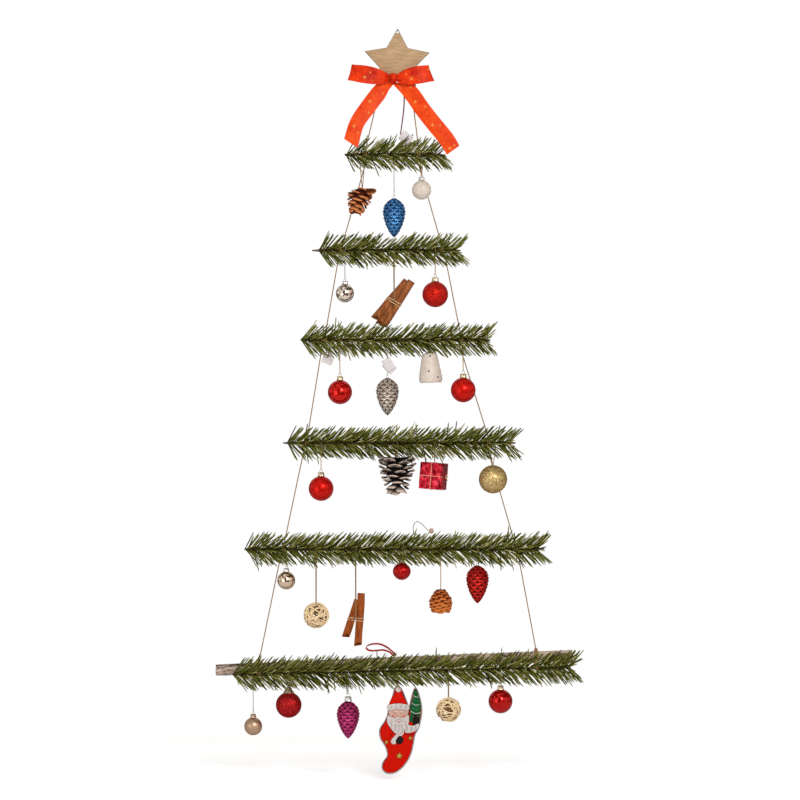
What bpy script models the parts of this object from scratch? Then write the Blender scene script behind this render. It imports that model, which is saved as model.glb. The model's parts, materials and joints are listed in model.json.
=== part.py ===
"""Wall Christmas tree: six evergreen rungs on two legs of jute twine, under a wooden star.

The origin is the hanging hole of the star, on the back face of the star. +Z is up, and the
object is seen from -Y. The wall lies just behind the knots of the twine, at about +Y 4 mm.
"""
import math

import bmesh
import bpy
from mathutils import Matrix, Vector

COLLECTION_NAME = "wall_christmas_tree"
MERGE_DISTANCE = 0.000002
CLEARANCE = 0.0003
NEEDLE_CLEARANCE = 0.0012
SMOOTH_ANGLE = math.radians(40)

# Star
STAR_RADIUS = 0.0547
STAR_INNER_SHARE = 0.53
STAR_THICKNESS = 0.004
STAR_POINTS = 5
STAR_TILT = math.radians(1.2)
HOLE_RADIUS = 0.0021
HOLE_FROM_TIP = 0.0061
HOLE_TO_CENTRE = STAR_RADIUS - HOLE_FROM_TIP
HOLE_OVERRUN = 0.002

# Bow: one 25 mm ribbon
RIBBON_WIDTH = 0.0255
RIBBON_THICKNESS = 0.001
KNOT_DROP_SHARE = 0.4735
KNOT_DROP = HOLE_TO_CENTRE + STAR_RADIUS * KNOT_DROP_SHARE
KNOT_OFFSET = -0.007
KNOT_WIDTH = 0.0165
KNOT_HEIGHT = 0.0175
KNOT_DEPTH = 0.013
LOOP_REACH_LEFT = 0.0705
LOOP_REACH_RIGHT = 0.0625
LOOP_DEPTH = 0.0155
LOOP_KNOT_WIDTH = 0.0125
TAIL_REACHES = {"left": 0.0640, "right": 0.0924}
TAIL_DROPS = {"left": 0.097, "right": 0.108}
TAIL_TOP_DEPTH = 0.0085
TAIL_END_DEPTH = 0.0250
TAG_STRING_RADIUS = 0.0006
TAG_STRING_OFFSET = 0.0150
TAG_STRING_DRIFT = -0.0027
TAG_STRING_DEPTH = 0.0060
TAG_STRING_END_DEPTH = 0.0167
TAG_STRING_BEND_SHARE = 0.33
TAG_WIDTH = 0.021
TAG_HEIGHT = 0.017
TAG_THICKNESS = 0.0006
TAG_STRING_LENGTH = 0.0845
TAG_SIDE_SHARE = 0.45

# Ladder: twine, sticks and garland stems
TWINE_RADIUS = 0.001
TWINE_KNOT_RADIUS = 0.0018
TWINE_START_DROP_SHARE = 0.766
TWINE_START_LEFT_SHARE = -0.5174
TWINE_START_RIGHT_SHARE = 0.4059
TWINE_START_DROP = HOLE_TO_CENTRE + STAR_RADIUS * TWINE_START_DROP_SHARE
TWINE_START_LEFT = STAR_RADIUS * TWINE_START_LEFT_SHARE
TWINE_START_RIGHT = STAR_RADIUS * TWINE_START_RIGHT_SHARE
EYE_OFFSET = 0.0035
RUNG_DEPTH = 0.011
TWIG_RADIUS = 0.0035
BARK_STICK_RADIUS = 0.0095
BARK_STICK_TILT = math.radians(2.35)
STEM_RADIUS = 0.0018
BOTTOM_STEM_FORWARD = 0.0125
BOTTOM_STEM_DROP_LEFT = 0.0066
BOTTOM_STEM_DROP_RIGHT = 0.0173

# How far each rung lies below the one above; the first lies below the hanging hole
RUNG_SPACINGS = (0.1976, 0.1528, 0.1432, 0.1648, 0.1696, 0.1820)
STICK_LEFT_ENDS = (0.0824, 0.1368, 0.1528, 0.1832, 0.2424, 0.2904)
STICK_RIGHT_ENDS = (0.0840, 0.1080, 0.1560, 0.1960, 0.2424, 0.2792)
STEM_LEFT_ENDS = (0.0840, 0.1256, 0.1544, 0.1768, 0.2440, 0.2632)
STEM_RIGHT_ENDS = (0.0696, 0.0936, 0.1400, 0.1784, 0.2248, 0.2760)
TWINE_LEFT_PLACES = (0.0520, 0.0896, 0.1162, 0.1448, 0.1821, 0.2216)
TWINE_RIGHT_PLACES = (0.0344, 0.0717, 0.1016, 0.1464, 0.1888, 0.2216)
# 1 sets the eye of the next twine outside the wrap, -1 inside it
EYE_SIDES_LEFT = (-1, 1, 1, 1, 1)
EYE_SIDES_RIGHT = (-1, 1, -1, -1, 1)

# Needles
NEEDLE_LENGTH = 0.036
NEEDLE_SLANT = math.radians(47)
NEEDLE_ROOT_RADIUS = 0.0008
NEEDLE_TIP_RADIUS = 0.0002
NEEDLE_PITCH = 0.0050
NEEDLE_SIDES = 3
# Directions about the stem, from straight down, positive towards the viewer
NEEDLE_TURNS = tuple(math.radians(turn) for turn in (170, -18, 100, 150, 38))
SWING_LIMIT = math.radians(60)
LEANING_SWING_LIMIT = math.radians(30)
LADDER_LIMIT = math.radians(35)
SWEEP_MARGIN = math.radians(4)
BODY_MARGIN = math.radians(24)
SWEEP_SAMPLES = 24

# Ornaments
THREAD_RADIUS = 0.0006
LEANING_KNEE = 0.0125
LEANING_GAP = 0.0009
CAP_RADIUS_SHARE = 0.3
CAP_HEIGHT_SHARE = 0.38
EMBED_SHARE = 0.25

# Each ornament hangs from its rung at a share of the garland's stem, counted from the left.
# reach is from the stem's axis to its lowest point, length is its own height without thread.
# A leaning ornament rests on the twine behind it and is carried by the stick.
ORNAMENTS = (
    {"name": "pinecone_small", "kind": "pinecone", "rung": 0, "share": 0.180, "reach": 0.0925,
     "length": 0.0420, "width": 0.0400, "tilt": -0.35, "leans": True},
    {"name": "cone_blue", "kind": "cone", "rung": 0, "share": 0.512, "reach": 0.1322,
     "length": 0.0645, "width": 0.0380, "tilt": 0.0, "leans": False},
    {"name": "bauble_white", "kind": "bauble", "rung": 0, "share": 0.797, "reach": 0.0725,
     "length": 0.0307, "width": 0.0307, "tilt": 0.0, "leans": True},
    {"name": "bauble_silver_upper", "kind": "bauble", "rung": 1, "share": 0.190, "reach": 0.0832,
     "length": 0.0288, "width": 0.0288, "tilt": 0.0, "leans": False},
    {"name": "cinnamon_bundle", "kind": "cinnamon", "rung": 1, "share": 0.547, "reach": 0.1180,
     "length": 0.0860, "width": 0.0260, "tilt": 0.58, "leans": False},
    {"name": "bauble_red_glitter", "kind": "bauble", "rung": 1, "share": 0.848, "reach": 0.0910,
     "length": 0.0412, "width": 0.0412, "tilt": 0.0, "leans": False},
    {"name": "bauble_red_shiny", "kind": "bauble", "rung": 2, "share": 0.212, "reach": 0.1028,
     "length": 0.0387, "width": 0.0387, "tilt": 0.0, "leans": False},
    {"name": "cone_silver", "kind": "cone", "rung": 2, "share": 0.470, "reach": 0.1208,
     "length": 0.0622, "width": 0.0384, "tilt": 0.0, "leans": False},
    {"name": "bell_white", "kind": "bell", "rung": 2, "share": 0.698, "reach": 0.0684,
     "length": 0.0480, "width": 0.0392, "tilt": 0.03, "leans": False},
    {"name": "bauble_red_matte", "kind": "bauble", "rung": 2, "share": 0.880, "reach": 0.0998,
     "length": 0.0395, "width": 0.0395, "tilt": 0.0, "leans": True},
    {"name": "bauble_red_lower", "kind": "bauble", "rung": 3, "share": 0.154, "reach": 0.0925,
     "length": 0.0397, "width": 0.0397, "tilt": 0.0, "leans": False},
    {"name": "pinecone_large", "kind": "pinecone", "rung": 3, "share": 0.496, "reach": 0.0827,
     "length": 0.0600, "width": 0.0600, "tilt": 0.0, "leans": False},
    {"name": "gift_box", "kind": "gift", "rung": 3, "share": 0.664, "reach": 0.0740,
     "length": 0.0430, "width": 0.0390, "tilt": 0.075, "leans": False},
    {"name": "bauble_gold", "kind": "bauble", "rung": 3, "share": 0.926, "reach": 0.0800,
     "length": 0.0451, "width": 0.0451, "tilt": 0.0, "leans": True},
    {"name": "bauble_silver_lower", "kind": "bauble", "rung": 4, "share": 0.142, "reach": 0.0637,
     "length": 0.0285, "width": 0.0285, "tilt": 0.0, "leans": True},
    {"name": "rattan_ball_upper", "kind": "rattan", "rung": 4, "share": 0.243, "reach": 0.1265,
     "length": 0.0422, "width": 0.0422, "tilt": 0.0, "leans": False},
    {"name": "cinnamon_pair", "kind": "cinnamon", "rung": 4, "share": 0.378, "reach": 0.1535,
     "length": 0.0840, "width": 0.0300, "tilt": 0.12, "leans": False},
    {"name": "bauble_ribbed", "kind": "ribbed", "rung": 4, "share": 0.535, "reach": 0.0493,
     "length": 0.0280, "width": 0.0291, "tilt": 0.0, "leans": False},
    {"name": "pinecone_orange", "kind": "pinecone", "rung": 4, "share": 0.668, "reach": 0.1024,
     "length": 0.0400, "width": 0.0389, "tilt": 0.0, "leans": False},
    {"name": "cone_red", "kind": "cone", "rung": 4, "share": 0.793, "reach": 0.0867,
     "length": 0.0630, "width": 0.0381, "tilt": 0.0, "leans": False},
    {"name": "bauble_champagne", "kind": "bauble", "rung": 5, "share": 0.061, "reach": 0.0980,
     "length": 0.0285, "width": 0.0285, "tilt": 0.0, "leans": False},
    {"name": "bauble_dark_red", "kind": "bauble", "rung": 5, "share": 0.166, "reach": 0.0713,
     "length": 0.0410, "width": 0.0410, "tilt": 0.0, "leans": False},
    {"name": "cone_magenta", "kind": "cone", "rung": 5, "share": 0.342, "reach": 0.1067,
     "length": 0.0645, "width": 0.0384, "tilt": 0.0, "leans": False},
    {"name": "wooden_figure", "kind": "figure", "rung": 5, "share": 0.489, "reach": 0.1630,
     "length": 0.1379, "width": 0.0674, "tilt": 0.0, "leans": False},
    {"name": "rattan_ball_lower", "kind": "rattan", "rung": 5, "share": 0.639, "reach": 0.0842,
     "length": 0.0410, "width": 0.0410, "tilt": 0.0, "leans": False},
    {"name": "bauble_red_end", "kind": "bauble", "rung": 5, "share": 0.793, "reach": 0.0714,
     "length": 0.0384, "width": 0.0384, "tilt": 0.0, "leans": False},
)

# Turned outlines: share of the half width, share of the length from the top
BALL_SHARES = (
    (0.0, 0.0), (0.5, 0.067), (0.866, 0.25), (1.0, 0.5), (0.866, 0.75), (0.5, 0.933), (0.0, 1.0))
CONE_SHARES = (
    (0.0, 0.0), (0.52, 0.03), (0.86, 0.15), (1.0, 0.33), (0.88, 0.58), (0.55, 0.82), (0.0, 1.0))
PINECONE_SHARES = (
    (0.0, 0.0), (0.45, 0.06), (0.85, 0.25), (1.0, 0.52), (0.92, 0.74), (0.55, 0.93), (0.0, 1.0))
BELL_SHARES = ((0.0, 0.0), (0.3, 0.02), (0.5, 0.09), (0.6, 0.3), (0.68, 0.6), (0.8, 0.85), (1.0, 1.0))
BELL_WALL = 0.0018
BALL_COLUMNS = 12
BALL_ROWS = 7
CONE_COLUMNS = 12
CONE_ROWS = 8
CONE_RELIEF_SHARE = 0.035
PINECONE_COLUMNS = 14
PINECONE_ROWS = 8
PINECONE_RELIEF_SHARE = 0.17
RIB_COUNT = 8
RIB_RELIEF_SHARE = 0.06
BELL_STEPS = 12

GIFT_DEPTH = 0.030
GIFT_YAW = math.radians(-17)
GIFT_BAND_WIDTH = 0.0022
GIFT_BAND_PROUD = 0.0006
# The level band lies under the upright one
GIFT_UNDER_SHARE = 0.7

QUILL_RADIUS = 0.0060
QUILL_SHEET = 0.0013
QUILL_CURL_PITCH = 0.0021
QUILL_CURL_TURNS = 1.35
QUILL_CURL_STEPS = 13
# Two quills part by this angle towards their lower ends
QUILL_FAN = math.radians(6.5)
# Length share of each quill, left to right
QUILL_LENGTHS = {"cinnamon_bundle": (0.93, 1.0), "cinnamon_pair": (0.74, 1.0)}
TIE_RADIUS = 0.0010

FIGURE_THICKNESS = 0.004
# Outline of the flat figure as shares of its width and length, from the hat's tip, clockwise
FIGURE_SHARES = (
    (0.44, 0.00), (0.52, 0.03), (0.60, 0.12), (0.68, 0.24), (0.69, 0.36), (0.70, 0.40),
    (0.72, 0.24), (0.86, 0.02), (1.00, 0.24), (0.95, 0.44), (0.84, 0.56), (0.80, 0.66),
    (0.74, 0.78), (0.60, 0.90), (0.40, 0.985), (0.20, 1.00), (0.08, 0.95), (0.10, 0.88),
    (0.20, 0.80), (0.16, 0.70), (0.04, 0.60), (0.02, 0.50), (0.12, 0.42), (0.20, 0.34),
    (0.24, 0.22), (0.32, 0.12), (0.37, 0.03),
)
FIGURE_HANG_SHARE = 0.44

SATIN_LOOP_WIDTH = 0.0034
SATIN_LOOP_THICKNESS = 0.0008
# Route over the garland: share of the loop's span, share of its rise above the bark stick
SATIN_LOOP_SPAN = 0.050
SATIN_LOOP_RISE = 0.0150
SATIN_LOOP_SHARES = ((0.0, 0.42), (0.12, 0.80), (0.30, 1.0), (0.55, 0.72), (0.80, 0.30), (1.0, 0.0))
SATIN_LOOP_PLACE_SHARE = 0.392

STRING_LOOP_RADIUS = 0.0006
STRING_LOOP_SPAN = 0.0272
STRING_LOOP_RISE = 0.0440
STRING_LOOP_PLACE_SHARE = 0.575
BEAD_RADIUS = 0.0044

PAPER_TAG_WIDTH = 0.0175
PAPER_TAG_HEIGHT = 0.0165
PAPER_TAG_TILT = 0.35
PAPER_TAG_DROP = 0.0300
LEFT_TAG_SHARE = 0.150

STICK_SIDES = 10
TUBE_SIDES = 6
LOOP_STEPS = 10
BELT_STEPS = 8


# Materials

def material(name, colour, roughness, metallic=0.0):
    """A plain Principled material with its own colour, roughness and metal share."""
    found = bpy.data.materials.get(name)
    if found:
        return found
    made = bpy.data.materials.new(name)
    made.use_nodes = True
    shader = made.node_tree.nodes["Principled BSDF"]
    shader.inputs["Base Color"].default_value = (*colour, 1.0)
    shader.inputs["Roughness"].default_value = roughness
    shader.inputs["Metallic"].default_value = metallic
    made.diffuse_color = (*colour, 1.0)
    return made


COLOURS = {
    "star": ((0.55, 0.43, 0.28), 0.7, 0.0),
    "ribbon": ((0.80, 0.06, 0.02), 0.35, 0.0),
    "twine": ((0.42, 0.30, 0.18), 0.9, 0.0),
    "twig": ((0.16, 0.09, 0.06), 0.85, 0.0),
    "bark": ((0.45, 0.34, 0.32), 0.85, 0.0),
    "needles": ((0.04, 0.13, 0.03), 0.6, 0.0),
    "paper": ((0.85, 0.84, 0.82), 0.7, 0.0),
    "satin": ((0.65, 0.03, 0.03), 0.4, 0.0),
    "pinecone_small": ((0.30, 0.14, 0.05), 0.7, 0.0),
    "cone_blue": ((0.01, 0.12, 0.40), 0.35, 0.4),
    "bauble_white": ((0.75, 0.75, 0.75), 0.5, 0.0),
    "bauble_silver_upper": ((0.70, 0.68, 0.66), 0.12, 1.0),
    "cinnamon_bundle": ((0.33, 0.10, 0.03), 0.7, 0.0),
    "bauble_red_glitter": ((0.60, 0.01, 0.01), 0.4, 0.5),
    "bauble_red_shiny": ((0.60, 0.01, 0.01), 0.1, 0.6),
    "cone_silver": ((0.45, 0.42, 0.40), 0.35, 0.7),
    "bell_white": ((0.80, 0.78, 0.74), 0.5, 0.0),
    "bauble_red_matte": ((0.55, 0.01, 0.02), 0.4, 0.3),
    "bauble_red_lower": ((0.60, 0.02, 0.01), 0.4, 0.3),
    "pinecone_large": ((0.07, 0.04, 0.025), 0.7, 0.0),
    "gift_box": ((0.50, 0.01, 0.06), 0.25, 0.6),
    "bauble_gold": ((0.55, 0.38, 0.09), 0.35, 0.8),
    "bauble_silver_lower": ((0.70, 0.68, 0.66), 0.12, 1.0),
    "rattan_ball_upper": ((0.66, 0.52, 0.36), 0.7, 0.0),
    "cinnamon_pair": ((0.36, 0.13, 0.04), 0.7, 0.0),
    "bauble_ribbed": ((0.60, 0.01, 0.02), 0.15, 0.5),
    "pinecone_orange": ((0.38, 0.15, 0.05), 0.6, 0.0),
    "cone_red": ((0.50, 0.01, 0.02), 0.35, 0.5),
    "bauble_champagne": ((0.50, 0.38, 0.27), 0.35, 0.8),
    "bauble_dark_red": ((0.28, 0.01, 0.01), 0.45, 0.4),
    "cone_magenta": ((0.33, 0.01, 0.17), 0.35, 0.5),
    "wooden_figure": ((0.65, 0.03, 0.02), 0.45, 0.0),
    "rattan_ball_lower": ((0.66, 0.52, 0.36), 0.7, 0.0),
    "bauble_red_end": ((0.45, 0.01, 0.02), 0.1, 0.6),
}


# Scene and mesh helpers

def clear_scene():
    """Remove whatever the new file holds."""
    for old in list(bpy.data.objects):
        bpy.data.objects.remove(old, do_unlink=True)


def put_in(obj, collection):
    """Move an object into one collection only."""
    for home in list(obj.users_collection):
        home.objects.unlink(obj)
    collection.objects.link(obj)


def new_collection(name):
    """Make a collection in the scene."""
    made = bpy.data.collections.new(name)
    bpy.context.scene.collection.children.link(made)
    return made


def baked(obj, name=None):
    """Replace an object by a plain mesh object at the world origin, welded shut."""
    bpy.context.view_layer.update()
    graph = bpy.context.evaluated_depsgraph_get()
    mesh = bpy.data.meshes.new_from_object(obj.evaluated_get(graph))
    mesh.transform(obj.matrix_world)
    shape = bmesh.new()
    shape.from_mesh(mesh)
    bmesh.ops.remove_doubles(shape, verts=shape.verts, dist=MERGE_DISTANCE)
    bmesh.ops.recalc_face_normals(shape, faces=shape.faces)
    shape.to_mesh(mesh)
    shape.free()
    label = name or obj.name
    bpy.data.objects.remove(obj, do_unlink=True)
    made = bpy.data.objects.new(label, mesh)
    bpy.context.scene.collection.objects.link(made)
    return made


def tube(points, radius, sides=TUBE_SIDES, closed=False):
    """A round rod along a list of points, as a closed mesh."""
    curve = bpy.data.curves.new("tube", "CURVE")
    curve.dimensions = "3D"
    curve.bevel_depth = radius
    curve.bevel_resolution = (sides - 4) // 2
    curve.use_fill_caps = not closed
    spline = curve.splines.new("POLY")
    spline.points.add(len(points) - 1)
    for knot, place in zip(spline.points, points):
        knot.co = (*place, 1.0)
    spline.use_cyclic_u = closed
    obj = bpy.data.objects.new("tube", curve)
    bpy.context.scene.collection.objects.link(obj)
    return baked(obj)


def ring(centre, radius, thickness, sides=4):
    """A ring whose hole runs along X."""
    bpy.ops.mesh.primitive_torus_add(
        major_segments=LOOP_STEPS, minor_segments=sides, major_radius=radius, minor_radius=thickness)
    obj = bpy.context.object
    obj.data.transform(Matrix.Translation(centre) @ Matrix.Rotation(math.pi / 2, 4, "Y"))
    return obj


def ball(centre, size, columns=BALL_COLUMNS, rows=BALL_ROWS):
    """A sphere stretched to a width, a depth and a height."""
    bpy.ops.mesh.primitive_uv_sphere_add(segments=columns, ring_count=rows, radius=1)
    obj = bpy.context.object
    stretch = Matrix.Diagonal((size[0] / 2, size[1] / 2, size[2] / 2, 1))
    obj.data.transform(Matrix.Translation(centre) @ stretch)
    return obj


def cylinder(centre, radius, height, sides=STICK_SIDES):
    """An upright cylinder."""
    bpy.ops.mesh.primitive_cylinder_add(vertices=sides, radius=radius, depth=height, location=centre)
    obj = bpy.context.object
    obj.data.transform(Matrix.Translation(obj.location))
    obj.location = (0, 0, 0)
    return obj


def box(size):
    """A box about the origin."""
    bpy.ops.mesh.primitive_cube_add(size=1)
    obj = bpy.context.object
    obj.data.transform(Matrix.Diagonal((*size, 1)))
    return obj


def plate(points, thickness, name="plate"):
    """A flat outline in the X-Z plane, thickened evenly to both sides of it."""
    curve = bpy.data.curves.new(name, "CURVE")
    curve.dimensions = "2D"
    curve.fill_mode = "BOTH"
    curve.extrude = thickness / 2
    spline = curve.splines.new("POLY")
    spline.points.add(len(points) - 1)
    for knot, (across, up) in zip(spline.points, points):
        knot.co = (across, up, 0.0, 1.0)
    spline.use_cyclic_u = True
    obj = bpy.data.objects.new(name, curve)
    bpy.context.scene.collection.objects.link(obj)
    obj.rotation_euler = (math.pi / 2, 0, 0)
    return baked(obj)


def strip(name, centres, sides, thickness):
    """A ribbon through centre points, each with its own half width vector, made solid."""
    mesh = bpy.data.meshes.new(name)
    shape = bmesh.new()
    pairs = []
    for centre, side in zip(centres, sides):
        first = shape.verts.new(Vector(centre) - Vector(side))
        second = shape.verts.new(Vector(centre) + Vector(side))
        pairs.append((first, second))
    for upper, lower in zip(pairs, pairs[1:]):
        shape.faces.new((upper[0], upper[1], lower[1], lower[0]))
    shape.to_mesh(mesh)
    shape.free()
    obj = bpy.data.objects.new(name, mesh)
    bpy.context.scene.collection.objects.link(obj)
    solid = obj.modifiers.new("thickness", "SOLIDIFY")
    solid.thickness = thickness
    solid.offset = 0
    return baked(obj)


def fuse(pieces):
    """Join overlapping solids into one closed body."""
    base = pieces[0]
    for other in pieces[1:]:
        union = base.modifiers.new("join", "BOOLEAN")
        union.operation = "UNION"
        union.solver = "EXACT"
        union.object = other
    made = baked(base)
    for other in pieces[1:]:
        bpy.data.objects.remove(other, do_unlink=True)
    return made


def finish(obj, name, pivot, look, collection):
    """Name a piece, set its origin on its joint's axis, give it its material and shade it."""
    obj.name = name
    obj.data.name = name
    obj.data.transform(Matrix.Translation(pivot).inverted())
    obj.location = pivot
    colour, roughness, metallic = COLOURS[look]
    obj.data.materials.clear()
    obj.data.materials.append(material(look, colour, roughness, metallic))
    obj.data.shade_smooth()
    obj.data.set_sharp_from_angle(angle=SMOOTH_ANGLE)
    put_in(obj, collection)
    return obj


def read_outline(shares, place):
    """Half width share and depth share at a place from 0, the top, to 1, the tip."""
    position = place * (len(shares) - 1)
    index = min(int(position), len(shares) - 2)
    blend = position - index
    first, second = shares[index], shares[index + 1]
    return (first[0] + (second[0] - first[0]) * blend, first[1] + (second[1] - first[1]) * blend)


# Frame of the ladder

def rung_height(index):
    """Height of a stick's axis at the middle of the tree."""
    return -sum(RUNG_SPACINGS[:index + 1])


def is_bottom(index):
    """Whether a rung is the lowest one."""
    return index == len(RUNG_SPACINGS) - 1


def stick_radius(index):
    """Radius of a rung's stick."""
    return BARK_STICK_RADIUS if is_bottom(index) else TWIG_RADIUS


def stick_height(index, across):
    """Height of a stick's axis at a place across the tree."""
    slope = math.tan(BARK_STICK_TILT) if is_bottom(index) else 0
    return rung_height(index) + across * slope


def stem_forward(index):
    """How far a garland's stem lies in front of its stick."""
    if is_bottom(index):
        return BOTTOM_STEM_FORWARD
    return TWIG_RADIUS + 2 * CLEARANCE + 2 * TWINE_RADIUS + STEM_RADIUS


def stem_height(index, across):
    """Height of a garland's stem at a place across the tree."""
    left, right = -STEM_LEFT_ENDS[index], STEM_RIGHT_ENDS[index]
    if not is_bottom(index):
        return rung_height(index)
    share = (across - left) / (right - left)
    low = stick_height(index, left) - BOTTOM_STEM_DROP_LEFT
    high = stick_height(index, right) - BOTTOM_STEM_DROP_RIGHT
    return low + (high - low) * share


def stem_point(index, across):
    """A point on a garland's stem."""
    return Vector((across, -RUNG_DEPTH - stem_forward(index), stem_height(index, across)))


def stick_point(index, across):
    """A point on a stick's axis."""
    return Vector((across, -RUNG_DEPTH, stick_height(index, across)))


def along_stem(index, share):
    """Place across the tree at a share of a garland's stem."""
    left, right = -STEM_LEFT_ENDS[index], STEM_RIGHT_ENDS[index]
    return left + (right - left) * share


def twine_places(side):
    """Where one leg of the twine is tied, from rung to rung, and where its eyes sit."""
    sign = -1 if side == "left" else 1
    ties = TWINE_LEFT_PLACES if side == "left" else TWINE_RIGHT_PLACES
    eye_sides = EYE_SIDES_LEFT if side == "left" else EYE_SIDES_RIGHT
    tied = [sign * place for place in ties]
    eyes = [sign * (place + way * EYE_OFFSET) for place, way in zip(ties, eye_sides)]
    return tied, eyes


def twine_run(index, side):
    """The top and bottom of one straight run of twine, above a rung."""
    tied, eyes = twine_places(side)
    low = stick_point(index, tied[index])
    low.z += stick_radius(index) + CLEARANCE + TWINE_RADIUS
    if index == 0:
        start = TWINE_START_LEFT if side == "left" else TWINE_START_RIGHT
        high = Vector((start, CLEARANCE + TWINE_KNOT_RADIUS, -TWINE_START_DROP))
    else:
        high = stick_point(index - 1, eyes[index - 1])
        high.z -= stick_radius(index - 1) + CLEARANCE + TWINE_RADIUS
    return high, low


# Sweeps: what swings past a garland's needles

def ornament_pivot(item):
    """Where an ornament's thread goes round what carries it."""
    across = along_stem(item["rung"], item["share"])
    carrier = stick_point if item["leans"] else stem_point
    return carrier(item["rung"], across)


def ornament_top(item):
    """Where an ornament's thread meets the ornament."""
    pivot = ornament_pivot(item)
    stem = stem_point(item["rung"], pivot.x)
    drop = item["reach"] - item["length"] * math.cos(item["tilt"])
    if item["kind"] in ("bauble", "ribbed"):
        drop -= item["width"] / 2 * CAP_HEIGHT_SHARE
    if item["kind"] == "cinnamon":
        drop += item["length"] * math.cos(item["tilt"]) / 2
    forward = -stem.y
    half = item["width"] / 2
    if item["leans"]:
        forward = RUNG_DEPTH + TWINE_RADIUS + LEANING_GAP + half
    if item["kind"] == "pinecone":
        forward = max(forward, half)
    return Vector((pivot.x, -forward, stem.z - drop))


def sweep_of(item):
    """The room that an ornament and its thread take as they swing, about their pivot."""
    pivot, top = ornament_pivot(item), ornament_top(item)
    reach = min((top - pivot).length, item["reach"] - item["length"])
    rest = math.atan2(pivot.y - top.y, pivot.z - top.z)
    half = item["width"] / 2 + item["length"] / 2 * abs(math.sin(item["tilt"]))
    carrier = stick_radius(item["rung"]) if item["leans"] else STEM_RADIUS
    eye = carrier + 2 * THREAD_RADIUS + CLEARANCE + NEEDLE_CLEARANCE
    limit = LADDER_LIMIT + LEANING_SWING_LIMIT if item["leans"] else SWING_LIMIT
    return {
        "pivot": pivot, "half": half, "reach": reach, "eye": eye,
        "start": min(rest, 0), "end": rest + limit,
    }


def blocks(sweep, place):
    """Whether a point lies in the room of a swinging ornament."""
    away = place - sweep["pivot"]
    turn = math.atan2(-away.y, -away.z)
    distance = math.hypot(away.y, away.z)
    half, margin = THREAD_RADIUS, SWEEP_MARGIN
    if distance < sweep["eye"]:
        return abs(away.x) < half + NEEDLE_CLEARANCE
    if distance > sweep["reach"] - NEEDLE_CLEARANCE:
        half, margin = sweep["half"], BODY_MARGIN
    if not sweep["start"] - margin < turn < sweep["end"] + margin:
        return False
    return abs(away.x) < half + NEEDLE_CLEARANCE


def crosses_twine(index, place):
    """Whether a point lies where the twine below a rung swings, or at the twine above it."""
    room = TWINE_RADIUS + NEEDLE_CLEARANCE
    stem = stem_point(index, place.x)
    near_stem = (place - stem).length < STEM_RADIUS + 2 * TWINE_RADIUS + CLEARANCE + NEEDLE_CLEARANCE
    for side in ("left", "right"):
        tied, eyes = twine_places(side)
        if abs(place.x - tied[index]) < room and (near_stem or place.y > stem.y):
            return True
        if is_bottom(index):
            continue
        high, low = twine_run(index + 1, side)
        away = place - stick_point(index, place.x)
        distance = math.hypot(away.y, away.z)
        run = high.lerp(low, distance / (high.z - low.z))
        turn = math.atan2(-away.y, -away.z)
        if abs(place.x - run.x) < room and -SWEEP_MARGIN < turn < LADDER_LIMIT + SWEEP_MARGIN:
            return True
    return False


def under_ornament(index, place):
    """Whether a needle reaches up to an ornament that hangs from the rung above."""
    if index == 0:
        return False
    for item in ORNAMENTS:
        if item["rung"] != index - 1:
            continue
        centre = ornament_pivot(item).x
        tip = stem_height(index - 1, centre) - item["reach"]
        if abs(place.x - centre) < item["width"] and place.z > tip - NEEDLE_CLEARANCE:
            return True
    return False


# Pieces of the ladder

def build_star(collection):
    """A flat five-pointed star with a hanging hole near its top."""
    centre = Vector((-HOLE_TO_CENTRE * math.sin(STAR_TILT), 0, -HOLE_TO_CENTRE * math.cos(STAR_TILT)))
    outline = []
    for step in range(STAR_POINTS * 2):
        turn = math.pi * step / STAR_POINTS + STAR_TILT
        reach = STAR_RADIUS * (STAR_INNER_SHARE if step % 2 else 1)
        outline.append((centre.x + reach * math.sin(turn), centre.z + reach * math.cos(turn)))
    star = plate(outline, STAR_THICKNESS, "star")
    star.data.transform(Matrix.Translation((0, -STAR_THICKNESS / 2, 0)))
    drill = cylinder((0, 0, 0), HOLE_RADIUS, STAR_THICKNESS + 2 * HOLE_OVERRUN, LOOP_STEPS)
    level = Matrix.Rotation(math.pi / 2, 4, "X")
    drill.data.transform(Matrix.Translation((0, -STAR_THICKNESS / 2, 0)) @ level)
    cut = star.modifiers.new("hole", "BOOLEAN")
    cut.operation = "DIFFERENCE"
    cut.solver = "EXACT"
    cut.object = drill
    star = baked(star)
    bpy.data.objects.remove(drill, do_unlink=True)
    finish(star, "star", Vector((0, 0, 0)), "star", collection)


def knot_centre():
    """Centre of the bow's knot, in front of the star."""
    return Vector((KNOT_OFFSET, -STAR_THICKNESS - CLEARANCE - KNOT_DEPTH / 2, -KNOT_DROP))


# Ribbon loops seen from above: share of the reach, share of the depth, width share
LOOP_SHARES = (
    (0.0, 0.20, 0.0), (0.30, 0.06, 0.55), (0.65, 0.02, 0.85), (0.93, 0.10, 1.0), (1.0, 0.40, 1.0),
    (0.93, 0.78, 1.0), (0.65, 1.0, 0.95), (0.30, 0.92, 0.60), (0.0, 0.72, 0.0),
)
LOOP_RISE_SHARE = 0.11


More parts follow.
